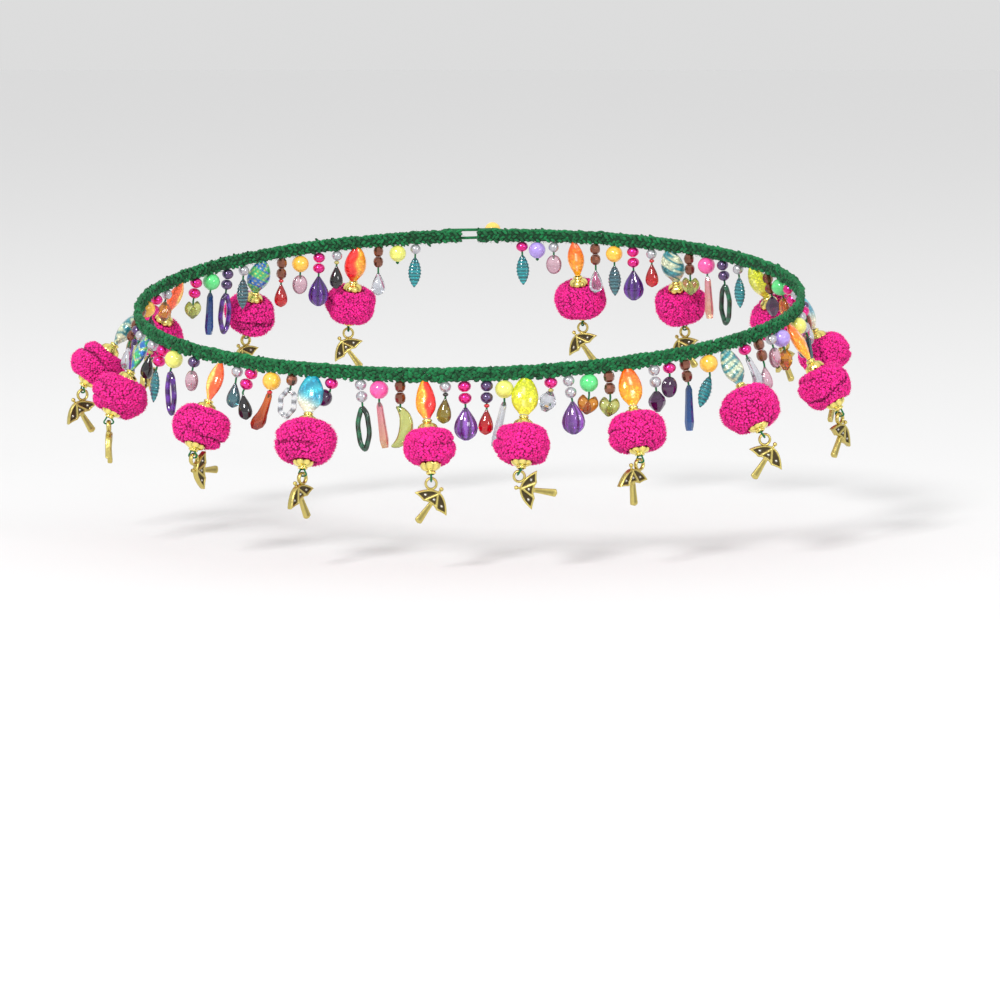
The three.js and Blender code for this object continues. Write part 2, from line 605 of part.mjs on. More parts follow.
function closureButton() {
  const { buttonRadius, stemRadius, cord, length } = CLOSURE;
  const stem = cord + 2 * SEAM_GAP;
  const profile = [new THREE.Vector2(0, 0), new THREE.Vector2(stemRadius, 0)];
  const rows = 6;
  const foot = Math.asin(stemRadius / buttonRadius);
  for (let i = 0; i <= rows; i++) {
    const turn = foot + ((Math.PI - foot) * i) / rows;
    profile.push(new THREE.Vector2(
      i === rows ? 0 : buttonRadius * Math.sin(turn),
      stem + buttonRadius * (Math.cos(foot) - Math.cos(turn)),
    ));
  }
  const frame = beltFrame(HALF_GIRTH - (length / 2 - 2.6 * cord));
  const geometry = new THREE.LatheGeometry(profile, 10);
  const turn = new THREE.Quaternion().setFromUnitVectors(new THREE.Vector3(0, 1, 0), frame.out);
  geometry.applyQuaternion(turn);
  const place = wallPoint(frame, BAND_THICKNESS / 2 + SEAM_GAP, 0);
  geometry.translate(place.x, place.y, place.z);
  return geometry;
}

// ---- assembly -----------------------------------------------------------------------------
const belt = new THREE.Group();

function addPiece(name, geometry, material) {
  const mesh = new THREE.Mesh(geometry, material);
  mesh.name = name;
  belt.add(mesh);
  return mesh;
}

const numbered = (name, index) => `${name}_${String(index + 1).padStart(2, "0")}`;

addPiece("band", geometryOf(solidOf(bandGeometry())), MATERIALS.crochet);
addPiece("closure_loop", geometryOf(solidOf(closureLoop())), MATERIALS.crochet);
addPiece("closure_button", geometryOf(solidOf(closureButton())), MATERIALS.bead);

const ROW_MARGIN = 4.5; // how far the edge row runs past its outermost piece
const bayStart = PENDANTS.map(({ arc }, i) => {
  if (i === 0) return STRINGS[0].arc - ROW_MARGIN;
  return arc - ROW_MARGIN;
});
const lastEnd = STRINGS[STRINGS.length - 1].arc + ROW_MARGIN;
const charm = charmSolid();

PENDANTS.forEach((pendant, i) => {
  const from = bayStart[i];
  const to = i + 1 < PENDANTS.length ? bayStart[i + 1] - 2 * SEAM_GAP : lastEnd;
  const strings = STRINGS.filter(({ arc }) => arc > from && arc < to);
  const bay = joined([edgeRow(from, to), mainBead(pendant), ...strings.map(beadString)]);
  addPiece(numbered("bead_fringe", i), geometryOf(bay), MATERIALS.bead);
  addPiece(numbered("pompom", i), geometryOf(pompomSolid(pendant, i)), MATERIALS.pompom);
  placeCharm(addPiece(numbered("umbrella_charm", i), geometryOf(charm), MATERIALS.brass), pendant);
});

export default belt;
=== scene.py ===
"""Looks of the crocheted waist belt: wool band, bead strings, pompom pendants and umbrella charms."""

import math
from collections import namedtuple

import bpy
import numpy as np
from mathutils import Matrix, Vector


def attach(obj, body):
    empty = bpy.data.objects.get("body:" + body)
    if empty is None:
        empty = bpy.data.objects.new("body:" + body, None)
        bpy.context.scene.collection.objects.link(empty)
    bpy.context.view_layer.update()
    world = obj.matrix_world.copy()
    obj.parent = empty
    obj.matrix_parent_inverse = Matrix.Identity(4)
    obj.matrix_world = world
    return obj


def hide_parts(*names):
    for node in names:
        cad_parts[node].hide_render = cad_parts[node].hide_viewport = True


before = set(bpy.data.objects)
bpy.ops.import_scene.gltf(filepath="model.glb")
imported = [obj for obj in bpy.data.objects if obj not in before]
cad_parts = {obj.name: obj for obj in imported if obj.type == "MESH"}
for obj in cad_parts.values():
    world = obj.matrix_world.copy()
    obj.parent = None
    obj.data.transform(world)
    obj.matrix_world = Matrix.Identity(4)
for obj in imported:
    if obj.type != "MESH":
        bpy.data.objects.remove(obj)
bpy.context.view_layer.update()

MM = 0.001  # every length below is in millimetres, and a piece is scaled as its mesh is made
TAU = 2 * math.pi

# ---- the belt's ring, as the CAD part has it ----
HALF_WIDTH, HALF_DEPTH = 175, 120
FRONT_DROP, SIDE_TILT = math.radians(13.7), math.radians(1.3)
SEAM_GAP = 0.3
BAND_HEIGHT, BAND_THICKNESS, END_GAP = 4.6, 3, 8
EDGE_HEIGHT = 1.5
STITCHES = 312  # finer than the CAD band's
BEADS_LEAN, DROP_LEAN = (3, 22), (1, 7)  # degrees outward, in front and at the sides
MAIN_BEAD_START = 1.1
THREAD_RADIUS, EYE_DEPTH, EYE_HALF_WIDTH = 0.45, 3.4, 2.55
RING_OUTER, RING_INNER = 3.35, 2.0
RING_ACROSS, RING_UP, HANGING_TURN = -5.8, 0.5, 36.3
DROP_THREAD = 1.6

# A pendant: its place along the belt from the front, its angles outward and sideways, its top bead,
# the pompom's radius and height, how much of its two caps shows, which way the charm's plate faces,
# how far it has swung in its plane, the top bead's look, whether the yarn is parted twice, and how
# far the thread eye leans sideways. Millimetres and degrees.
Pendant = namedtuple(
    "Pendant",
    "arc lean sway bead radius height top_cap foot_cap facing swing look split eye_lean",
    defaults=[0],
)
PENDANTS = [Pendant(*row) for row in (
    (-404, 20, 2, "drop", 14.0, 21.0, 3.8, 2.4, -170, 0, "sunset", 0),
    (-348, 27, 0, "shell", 14.3, 20.0, 3.8, 2.4, -140, 0, "lagoon", 1),
    (-292, 33, -2, "leaf", 13.6, 21.0, 3.8, 2.4, -115, 0, "peach", 0),
    (-234, 38, 6, "drop", 14.0, 21.5, 4.2, 2.8, -150, -4, "sea", 0),
    (-196, 28, 0, "leaf", 14.3, 21.0, 3.8, 2.4, -88, 0, "lagoon", 1),
    (-133.5, 24, -3, "leaf", 14.8, 21.5, 3.8, 2.4, -122, 50, "peach", 1),
    (-80, 22, 2, "shell", 15.2, 23.0, 4.0, 2.6, -128, -9, "turquoise", 0),
    (-22.5, 19, 6, "slim", 12.6, 19.5, 4.7, 4.2, 3, 0, "sunset", 1),
    (28.5, 20, -5.5, "wide", 13.9, 20.5, 4.6, 2.4, 180, 46, "lime", 1, 30),
    (81, 22, 0, "drop", 14.6, 20.5, 3.6, 1.8, -136, -30, "flame", 0),
    (138, 32, 3, "drop", 15.0, 22.5, 3.4, 1.8, 4, -4, "sea", 0, 35),
    (192, 32, 5, "long", 13.6, 22.0, 4.8, 3.4, 52, -4, "flame", 1),
    (241, 24, 0, "drop", 13.6, 21.0, 3.8, 2.4, 70, 0, "turquoise", 0),
    (297, 33, 0, "wide", 14.2, 20.5, 3.8, 2.4, 118, 0, "lime", 0),
    (353, 27, 1, "shell", 13.9, 21.5, 3.8, 2.4, 150, 0, "sea", 1),
    (409, 20, -2, "leaf", 14.1, 20.5, 3.8, 2.4, 165, 0, "flame", 0),
)]

# Top beads: length, width and depth
MAIN_BEADS = {"slim": (18.7, 10.4, 8), "drop": (18.7, 12.6, 8), "wide": (18.2, 13.8, 8),
              "shell": (18.2, 14.2, 7.5), "leaf": (19.2, 9.5, 6), "long": (21, 9.5, 6)}
TUCK = 1.4  # how far the top beads' tips reach up into the edge row

# A bead string: its place along the belt, its number of small beads (0 for one big bead), its
# drop, the angles sideways of its beads and of the drop, the looks of both, and the look of the
# seed bead between them, if it has one
STRINGS = [
    (-437, 1, "leaf", 2, 2, "pearl", "teal"),
    (-427, 0, "none", 1, 0, "cream", ""),
    (-416, 2, "tear", 0, 0, "copper", "clear"),
    (-392.5, 1, "tear", 2, 1, "pearl", "black", "gold"),
    (-382, 2, "ribbed", 0, 0, "pink", "purple"),
    (-371, 0, "oval", -1, 2, "yellow", "rose"),
    (-360, 2, "tear", 0, 0, "copper", "red", "red"),
    (-336.5, 1, "leaf", 1, 0, "pearl", "slate"),
    (-326, 2, "hoop", 0, 2, "violet", "purple"),
    (-315, 0, "baton", -2, 0, "mint", "blue"),
    (-304, 2, "pebble", 0, 0, "pink", "citron"),
    (-280, 1, "facet", 0, 0, "pearl", "amber"),
    (-269.5, 2, "ribbed", 1, 0, "pink", "plum"),
    (-258.5, 0, "leaf", 0, 2, "yellow", "teal"),
    (-247, 2, "tear", 0, 0, "copper", "olive"),
    (-224, 2, "tear", 0, 0, "copper", "clear"),
    (-215, 1, "hoop", 4, 3, "violet", "purple"),
    (-206, 1, "oval", 2, 0, "pearl", "citron"),
    (-187.5, 1, "tear", -12, -14, "pearl", "black", "gold"),
    (-177, 2, "leaf", -12, -2, "pink", "teal"),
    (-166, 0, "hoop", -10, 8, "cream", "purple"),
    (-151.5, 1, "oval", -3, -2, "violet", "rose"),
    (-122.5, 1, "tear", -6, -8, "pearl", "slate"),
    (-113.2, 2, "tear", -24, 10, "pink", "black"),
    (-101.7, 0, "boot", -8, -16, "yellow", "ember", "red"),
    (-90.8, 1, "loop", -8, -12, "copper", "clear"),
    (-69.3, 1, "ball", -10, -48, "pink", "plum"),
    (-55, 2, "hoop", 6, 3, "pearl", "forest"),
    (-45.3, 0, "baton", 1, 8, "bubblegum", "blush"),
    (-34.6, 2, "moon", 1, -7, "copper", "citron"),
    (-12, 1, "tear", 2, -5, "pearl", "olive", "dark"),
    (-2.5, 2, "ribbed", 3, 1, "pink", "lilac"),
    (8.8, 2, "tear", 0, -3, "violet", "red", "red"),
    (17.6, 0, "baton", 0, -13, "cream", "clear"),
    (41, 1, "facet", 0, -20, "pink", "clear", "gold"),
    (49.5, 2, "ribbed", 10, 3, "pearl", "lilac"),
    (60.5, 0, "pebble", 0, -10, "mint", "amber"),
    (70.8, 2, "pebble", 3, -8, "copper", "citron"),
    (95.2, 2, "facet", 4, 4, "pearl", "plum"),
    (104, 1, "oval", 0, -4, "pink", "plum"),
    (112.6, 2, "baton", 8, 0, "copper", "blue"),
    (127, 0, "leaf", 2, -24, "yellow", "teal"),
    (151, 1, "boot", 12, 38, "pink", "clear"),
    (162, 2, "tear", 8, 6, "copper", "rose"),
    (172.5, 1, "oval", 6, 8, "pearl", "rose"),
    (181.5, 0, "facet", 4, -4, "lavender", "amber"),
    (203, 0, "oval", 0, 0, "cream", "plum"),
    (212.5, 2, "baton", -2, 2, "pearl", "slate"),
    (222, 1, "tear", -2, 0, "pink", "clear"),
    (231, 1, "oval", 0, -4, "violet", "ember"),
    (252, 1, "tear", 0, 0, "pearl", "olive"),
    (262.5, 2, "ribbed", 0, 0, "pink", "lilac"),
    (273.5, 0, "oval", 0, -2, "mint", "amber"),
    (284.5, 2, "facet", 0, 0, "copper", "plum"),
    (308, 1, "leaf", 1, 1, "pearl", "teal"),
    (319, 2, "hoop", 0, 0, "violet", "forest"),
    (330, 0, "baton", 0, -2, "bubblegum", "blush"),
    (341, 2, "pebble", 0, 0, "copper", "citron"),
    (364, 1, "tear", 0, 0, "pearl", "red", "red"),
    (375, 2, "ribbed", 0, 0, "pink", "purple"),
    (386, 0, "leaf", 0, -1, "yellow", "slate"),
    (397, 2, "tear", -1, 0, "copper", "clear"),
    (420.5, 1, "oval", 0, 0, "pearl", "rose"),
    (430, 0, "none", -1, 0, "lavender", ""),
    (438.5, 1, "leaf", -2, -2, "pink", "teal"),
]

# Drops: length, width and depth
DROPS = {
    "tear": (14, 7.6, 6.4), "ribbed": (16.5, 11.4, 8), "leaf": (17, 6.8, 4), "hoop": (23, 8, 3),
    "oval": (10.5, 8.6, 5), "boot": (20, 8.5, 5.5), "moon": (20, 14, 4.4), "baton": (23, 5, 4.4),
    "pebble": (9.6, 12.6, 5.6), "facet": (10.5, 9.2, 7.6), "loop": (15.5, 10, 4), "ball": (8.8, 8.8, 8.8),
}

# Small beads: shader, colour, half width, and whether they are cut in facets
SMALL_BEADS = {
    "pearl": ("pearl", (190, 190, 196), 3.0, False),
    "pink": ("metallic", (232, 22, 136), 3.4, False),
    "copper": ("metallic", (132, 78, 58), 2.9, True),
    "violet": ("metallic", (96, 76, 120), 3.2, False),
    "cream": ("polish", (226, 228, 112), 4.75, False),
    "yellow": ("polish", (250, 190, 66), 4.75, False),
    "bubblegum": ("polish", (242, 84, 160), 4.8, False),
    "mint": ("polish", (88, 214, 124), 4.75, False),
    "lavender": ("polish", (170, 146, 222), 4.75, False),
}
# By the number of small beads: how far down they reach, and where each starts and its height
BEAD_REACH = {0: 10.0, 1: 6.2, 2: 12.2}
BEAD_PLACES = {0: [(0.6, 9.3)], 1: [(0.6, 5.6)], 2: [(0.4, 5.7), (6.3, 5.7)]}

# Drops: shader, and colours at the drop's top and foot
DROP_LOOKS = {
    "teal": ("glass", (14, 118, 128), (40, 176, 182)),
    "clear": ("crystal", (226, 228, 234), (206, 210, 220)),
    "black": ("glass", (14, 14, 18), (34, 32, 40)), "purple": ("glass", (78, 30, 128), (112, 52, 168)),
    "rose": ("tinted", (232, 196, 208), (222, 176, 194)), "red": ("glass", (160, 6, 18), (224, 14, 26)),
    "slate": ("glass", (50, 84, 98), (84, 142, 150)), "blue": ("glass", (14, 62, 120), (20, 88, 160)),
    "citron": ("tinted", (214, 220, 130), (204, 210, 120)),
    "amber": ("tinted", (236, 160, 36), (196, 110, 24)),
    "plum": ("glass", (52, 12, 58), (96, 24, 100)), "olive": ("tinted", (128, 112, 40), (170, 150, 60)),
    "ember": ("tinted", (226, 110, 30), (150, 30, 20)), "forest": ("glass", (6, 52, 36), (24, 112, 74)),
    "blush": ("tinted", (232, 150, 168), (236, 190, 150)),
    "lilac": ("tinted", (170, 110, 206), (128, 70, 176)),
}
SEEDS = {"gold": (176, 168, 88), "red": (196, 28, 40), "dark": (40, 44, 40)}

# Top beads: pattern, and its two main colours and the colour of its marks
TOP_LOOKS = {
    "sunset": ("halves", (240, 150, 24), (232, 36, 34), (250, 200, 80)),
    "lagoon": ("marble", (20, 96, 178), (56, 176, 104), (236, 220, 70)),
    "peach": ("halves", (250, 186, 52), (242, 92, 44), (255, 226, 140)),
    "sea": ("marble", (16, 122, 132), (206, 214, 178), (10, 92, 104)),
    "turquoise": ("rim", (16, 128, 158), (52, 178, 196), (226, 226, 200)),
    "lime": ("fade", (186, 196, 24), (214, 206, 34), (240, 240, 150)),
    "flame": ("fade", (236, 82, 16), (252, 184, 24), (255, 232, 190)),
}


# ---- geometry ----
def unit(v):
    v = np.asarray(v, float)
    return v / np.maximum(np.linalg.norm(v, axis=-1, keepdims=True), 1e-12)


def circle(steps):
    """Angles round a circle."""
    return np.arange(steps) / steps * TAU


def round_profile(t, least=0):
    """A ball's half width, at t from 0 at its top to 1 at its foot."""
    return np.sqrt(np.clip(1 - (2 * t - 1) ** 2, least, 1))


def worn_tilt(v):
    """A vector turned from the level ring to the slope it has when worn."""
    c, s = math.cos(FRONT_DROP), math.sin(FRONT_DROP)
    x, y, z = v[..., 0], v[..., 1], v[..., 2]
    y, z = c * y - s * z, s * y + c * z
    c, s = math.cos(-SIDE_TILT), math.sin(-SIDE_TILT)
    return np.stack([c * x + s * z, y, c * z - s * x], -1)


# Arc length from the front against the ellipse's parameter, for half the ring
ARC_STEPS = 4000
_t = (np.arange(ARC_STEPS) + 0.5) / ARC_STEPS * math.pi
_speed = np.hypot(HALF_WIDTH * np.cos(_t), HALF_DEPTH * np.sin(_t))
ARC_TABLE = np.concatenate([[0], np.cumsum(_speed)]) * math.pi / ARC_STEPS
HALF_GIRTH = ARC_TABLE[-1]


def belt_frame(arc):
    """Middle of the band's wall at arc, and the directions along, out of and up it."""
    arc = (np.asarray(arc, float) + HALF_GIRTH) % (2 * HALF_GIRTH) - HALF_GIRTH
    t = np.sign(arc) * np.interp(np.abs(arc), ARC_TABLE, np.linspace(0, math.pi, ARC_STEPS + 1))
    o = np.zeros_like(t)
    middle = np.stack([HALF_WIDTH * np.sin(t), -HALF_DEPTH * np.cos(t), o], -1)
    along = unit(np.stack([HALF_WIDTH * np.cos(t), HALF_DEPTH * np.sin(t), o], -1))
    up = np.stack([o, o, o + 1], -1)
    out = np.cross(along, up)
    return [worn_tilt(v) for v in (middle, along, up, out)]


def wall_point(arc, out, up):
    middle, _, u, o = belt_frame(arc)
    return middle + o * np.asarray(out, float)[..., None] + u * np.asarray(up, float)[..., None]


def outward_at(arc):
    """Outward from the belt at arc, level."""
    return unit(belt_frame(arc)[3] * (1, 1, 0))


def edge_point(arc):
    """The point of the edge row that a pendant or string hangs from."""
    return wall_point(arc, 0.0, -(BAND_HEIGHT / 2 + SEAM_GAP + EDGE_HEIGHT / 2))


class Line:
    """A line that hangs from a point, with the directions across it along the belt and through it."""

    def __init__(self, start, outward, lean, sway):
        sideways = np.array([-outward[1], outward[0], 0])
        lean, sway = math.radians(lean), math.radians(sway)
        self.start = start
        down = np.array([0, 0, -math.cos(lean)])
        self.along = unit(down + outward * math.sin(lean) + sideways * math.tan(sway))
        self.across = unit(sideways - self.along * (sideways @ self.along))
        self.through = np.cross(self.across, self.along)

    def point(self, at, across=0.0, through=0.0):
        at, across, through = (np.asarray(v, float)[..., None] for v in (at, across, through))
        return self.start + self.along * at + self.across * across + self.through * through


def lean_at(lean, outward):
    """A lean given as (in front, at the sides), at a place on the belt."""
    return lean[0] + (lean[1] - lean[0]) * outward[0] ** 2


def linear(rgb):
    """An sRGB colour out of 255 as linear light."""
    c = np.asarray(rgb, float) / 255
    return np.where(c <= 0.04045, c / 12.92, ((c + 0.055) / 1.055) ** 2.4)


class Piece:
    """The mesh of one piece, gathered part by part."""

    def __init__(self, name, materials):
        self.name, self.materials = name, materials
        self.points, self.tints, self.uvs, self.faces = [], [], [], []
        self.count = 0

    def add(self, points, quads, material, tint, smooth=True, uv=None):
        points = np.asarray(points, float).reshape(-1, 3)
        tint = np.broadcast_to(np.asarray(tint, float), (len(points), 3))
        self.points.append(points)
        self.tints.append(tint)
        uv = np.zeros((len(points), 2)) if uv is None else np.asarray(uv, float).reshape(-1, 2)
        self.uvs.append(uv)
        quads = np.asarray(quads, int)
        self.faces.append((quads + self.count, self.materials.index(material), smooth))
        self.count += len(points)

    def grid(self, points, material, tint, closed=True, smooth=True):
        """Rows of rings of points. Ends are closed by fans where closed is true."""
        rows, cols = points.shape[:2]
        i, j = np.meshgrid(np.arange(rows - 1), np.arange(cols), indexing="ij")
        k = (j + 1) % cols
        here, below = i * cols, (i + 1) * cols
        quads = np.stack([here + j, below + j, below + k, here + k], -1).reshape(-1, 4)
        flat = points.reshape(-1, 3)
        a, b, c, d = (flat[quads[:, n]] - flat.mean(0) for n in range(4))
        if np.einsum("ij,ij->", a, np.cross(b, c) + np.cross(c, d)) < 0:
            quads = quads[:, ::-1]
        uv = np.meshgrid(np.linspace(0, 1, rows), np.linspace(0, 1, cols), indexing="ij")
        tints = tint(*uv) if callable(tint) else tint
        self.add(points, quads, material, np.reshape(tints, (-1, 3)), smooth, np.stack(uv, -1))
        if closed:
            first = self.count - len(flat)
            loop = np.arange(cols)
            for base in (0, (rows - 1) * cols):
                tips = base + loop[2:]
                fan = np.stack([np.full(cols - 2, base), base + loop[1:-1], tips, tips], -1)
                self.faces.append((fan + first, self.materials.index(material), smooth))

    def tubes(self, paths, radii, sides, material, tint, up):
        """Many tubes at once: paths is (tubes, steps, 3), and up gives the side each ring starts at."""
        paths = np.asarray(paths, float)
        n, m = paths.shape[:2]
        along = unit(np.gradient(paths, axis=1))
        up = np.broadcast_to(up, paths.shape)
        side = unit(up - along * np.sum(up * along, -1, keepdims=True))
        other = np.cross(along, side)
        turn = circle(sides)
        radii = np.broadcast_to(radii, (n, m))[..., None, None]
        around = side[:, :, None] * np.cos(turn)[:, None] + other[:, :, None] * np.sin(turn)[:, None]
        t, i, j = np.meshgrid(np.arange(n), np.arange(m - 1), np.arange(sides), indexing="ij")
        here, below, k = (t * m + i) * sides, (t * m + i + 1) * sides, (j + 1) % sides
        quads = np.stack([here + j, here + k, below + k, below + j], -1).reshape(-1, 4)
        steps = np.cumsum(np.linalg.norm(np.diff(paths, axis=1), axis=-1), 1)
        length = np.concatenate([np.zeros((n, 1)), steps], 1)
        uv = np.stack(np.broadcast_arrays(length[..., None], turn / TAU), -1)
        tint = np.repeat(np.asarray(tint, float), m * sides, axis=0)
        self.add(paths[:, :, None] + radii * around, quads, material, tint, True, uv)

    def blades(self, roots, tips, half_width, material, tint, rng):
        """Flat fibres from roots to tips, turned at random, thin at the tip, with painted shade darkening
        them at the root.
        """
        n = len(roots)
        along = unit(tips - roots)
        side = unit(np.cross(along, rng.normal(size=(n, 3)))) * half_width[:, None]
        points = np.stack([roots - side, roots + side, tips + side * 0.6, tips - side * 0.6], 1)
        tints = np.repeat(tint[:, None], 4, axis=1)
        # painted shade: the two root corners of each fibre are darkened to 0.45 where the fibre goes into the
        # yarn
        tints[:, :2] *= 0.45
        self.add(points, np.arange(n * 4).reshape(n, 4), material, tints.reshape(-1, 3), False)

    def tufts(self, roots, normals, half, rise, sides, material, tint, rng):
        """Small rounded tufts of yarn ends that stand on the roots, painted dark at the foot as shade and
        light at the crown.
        """
        n = len(roots)
        side = unit(np.cross(normals, rng.normal(size=(n, 3))))
        other = np.cross(normals, side)
        turn = circle(sides)
        around = side[:, None] * np.cos(turn)[:, None] + other[:, None] * np.sin(turn)[:, None]
        half, rise = half[:, None, None], rise[:, None, None]
        foot = roots[:, None] + around * half
        shoulder = roots[:, None] + around * half * 0.74 + normals[:, None] * rise * 0.68
        crown = roots[:, None] + normals[:, None] * rise
        j = np.arange(sides)
        k = (j + 1) % sides
        walls = np.stack([j, k, sides + k, sides + j], -1)
        tops = np.stack([sides + j, sides + k, 2 * sides + 0 * j, 2 * sides + 0 * j], -1)
        faces = np.concatenate([walls, tops])[None] + np.arange(n)[:, None, None] * (2 * sides + 1)
        # painted light and shade: each tuft is darkened to 0.3 at its foot as shade between tufts and
        # brightened to 1.2 at its crown as painted light
        shade = np.repeat([0.3, 0.95, 1.2], [sides, sides, 1])[None, :, None]
        self.add(np.concatenate([foot, shoulder, crown], 1), faces.reshape(-1, 4), material,
                 (tint[:, None] * shade).reshape(-1, 3))

    def build(self, body, slot, *nodes):
        """Makes the mesh, on the body that carries it and in place of the CAD nodes."""
        mesh = bpy.data.meshes.new(self.name)
        points = np.concatenate(self.points) * MM
        quads = np.concatenate([f[0] for f in self.faces])
        materials = np.concatenate([np.full(len(f[0]), f[1]) for f in self.faces])
        smooth = np.concatenate([np.full(len(f[0]), f[2]) for f in self.faces])
        three = quads[:, 2] == quads[:, 3]
        totals = np.where(three, 3, 4)
        loops = quads.ravel()[np.stack([np.ones_like(three)] * 3 + [~three], -1).ravel()]
        mesh.vertices.add(len(points))
        mesh.vertices.foreach_set("co", points.ravel().astype(np.float32))
        mesh.loops.add(len(loops))
        mesh.loops.foreach_set("vertex_index", loops.astype(np.int32))
        mesh.polygons.add(len(quads))
        starts = np.concatenate([[0], np.cumsum(totals)[:-1]])
        mesh.polygons.foreach_set("loop_start", starts.astype(np.int32))
        mesh.polygons.foreach_set("material_index", materials.astype(np.int32))
        mesh.polygons.foreach_set("use_smooth", smooth)
        mesh.update(calc_edges=True)
        tint = mesh.attributes.new("tint", "FLOAT_COLOR", "POINT")
        colours = np.concatenate([np.concatenate(self.tints), np.ones((len(points), 1))], 1)
        tint.data.foreach_set("color", colours.ravel().astype(np.float32))
        layer = mesh.uv_layers.new(name="strand")
        uvs = np.concatenate(self.uvs)[loops]
        layer.data.foreach_set("uv", uvs.ravel().astype(np.float32))
        mesh.validate()
        for m in self.materials:
            mesh.materials.append(MATERIALS[m])
        piece = bpy.data.objects.new(self.name, mesh)
        bpy.context.scene.collection.objects.link(piece)
        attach(piece, body)
        if nodes:
            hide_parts(*nodes)


# ---- materials ----
FLAKE_SHARES = (0.62, 0.8)  # a cell's brightness where a flake starts to shine, and where it's full
RELIEF = 0.0004  # metres, the height of the finest relief


def add_node(tree, kind, **values):
    """A shader node with the values of its inputs, an underscore standing for a space."""
    node = tree.nodes.new(kind)
    for name, value in values.items():
        node.inputs[name.replace("_", " ")].default_value = value
    return node


def scaled(tree, colour, factor):
    """A node that multiplies a colour by a factor."""
    node = add_node(tree, "ShaderNodeVectorMath")
    node.operation = "SCALE"
    tree.links.new(colour, node.inputs[0])
    tree.links.new(factor, node.inputs["Scale"])
    return node.outputs["Vector"]


def material(name, roughness, rough_spread, noise_scale, bump, tone=0.2, flakes=(0, 0), **settings):
    """A material whose colour is the mesh's tint, with fine variation of tone, roughness and relief."""
    m = bpy.data.materials.new(name)
    m.use_nodes = True
    tree = m.node_tree
    links = tree.links
    shader = tree.nodes["Principled BSDF"]
    place = add_node(tree, "ShaderNodeTexCoord").outputs["Object"]
    tint = add_node(tree, "ShaderNodeAttribute")
    tint.attribute_name = "tint"
    noise = add_node(tree, "ShaderNodeTexNoise", Scale=noise_scale, Detail=3)
    links.new(place, noise.inputs["Vector"])
    spread = add_node(tree, "ShaderNodeMapRange", To_Min=1 - tone, To_Max=1 + tone)
    links.new(noise.outputs["Fac"], spread.inputs["Value"])
    colour = scaled(tree, tint.outputs["Color"], spread.outputs["Result"])
    if flakes[0]:
        cells = add_node(tree, "ShaderNodeTexVoronoi", Scale=flakes[0])
        links.new(place, cells.inputs["Vector"])
        low, high = FLAKE_SHARES
        bright = add_node(tree, "ShaderNodeMapRange", From_Min=low, From_Max=high, To_Min=1, To_Max=flakes[1])
        links.new(cells.outputs["Color"], bright.inputs["Value"])
        colour = scaled(tree, colour, bright.outputs["Result"])
    links.new(colour, shader.inputs["Base Color"])
    least, most = max(0.02, roughness - rough_spread), min(1, roughness + rough_spread)
    rough = add_node(tree, "ShaderNodeMapRange", To_Min=least, To_Max=most)
    links.new(noise.outputs["Fac"], rough.inputs["Value"])
    links.new(rough.outputs["Result"], shader.inputs["Roughness"])
    if bump:
        relief = add_node(tree, "ShaderNodeBump", Strength=bump, Distance=RELIEF)
        links.new(noise.outputs["Fac"], relief.inputs["Height"])
        links.new(relief.outputs["Normal"], shader.inputs["Normal"])
    for key, value in settings.items():
        shader.inputs[key.replace("_", " ")].default_value = value
    return m


MATERIALS = {
    "wool": material("green_wool", 0.92, 0.06, 2600, 0.5, 0.35, Sheen_Weight=0.08, Sheen_Roughness=0.5),
    "yarn": material("pink_yarn", 0.95, 0.04, 2200, 0.4, 0.22, Sheen_Weight=0.12, Sheen_Roughness=0.4),
    "pearl": material("pearl", 0.22, 0.08, 420, 0.08, 0.08, Coat_Weight=0.8, Metallic=0.6),
    "metallic": material("metallic_bead", 0.18, 0.1, 500, 0.1, 0.12, Coat_Weight=0.8, Metallic=0.8),
    "polish": material("polished_bead", 0.2, 0.1, 900, 0.15, 0.14, (700, 1.25), Coat_Weight=0.8),
    "glass": material("coloured_glass", 0.07, 0.05, 320, 0.12, 0.12, Transmission_Weight=0.6,
                      Coat_Weight=0.8),
    "tinted": material("tinted_glass", 0.05, 0.03, 320, 0.15, 0.1, Transmission_Weight=0.85,
                       Coat_Weight=0.5),
    "crystal": material("clear_glass", 0.05, 0.03, 320, 0.15, 0.06, Transmission_Weight=0.92),
    "glitter": material("glitter_glass", 0.16, 0.1, 900, 0.45, 0.22, (1300, 1.8), Coat_Weight=0.9,
                        Metallic=0.1),
    "gold": material("gold_cap", 0.2, 0.1, 700, 0.3, 0.15, Metallic=1.0),
    "brass": material("antique_brass", 0.34, 0.12, 800, 0.4, 0.2, Metallic=1.0),
}

GREEN = linear((9, 104, 56))
PINK = linear((250, 26, 148))
GOLD = linear((232, 214, 122))
BRASS = linear((206, 190, 112))
TARNISH = linear((82, 72, 52))
SILVER = linear((214, 212, 204))


# ---- band ----
# Rows of stitches on the band's outer and inner face: height, rise over a stitch, and its slant
OUTER_ROWS = ((1.9, 1.6, 1), (0.9, 1.9, -1), (-0.3, 1.9, 1), (-1.4, 1.9, -1), (-2.5, 1.7, 1), (-3.3, 1.0, -1))
INNER_ROWS = ((1.3, 1.8, 1), (-0.9, 1.9, -1), (-2.7, 1.5, 1))
STITCH_SPREAD = (0.45, 0.36, 0.26, 0.5)  # how stitches differ: along, up, out, and in rise
STITCH_RADIUS, STITCH_SIDES = 0.98, 5
CORE_WIDTH, CORE_HEIGHT, BAND_MIDDLE = 1.1, 2.9, -0.7
BAND_END = 0.6  # how far the stitches stay inside the band's ends
BAND_FIBRES = 12000


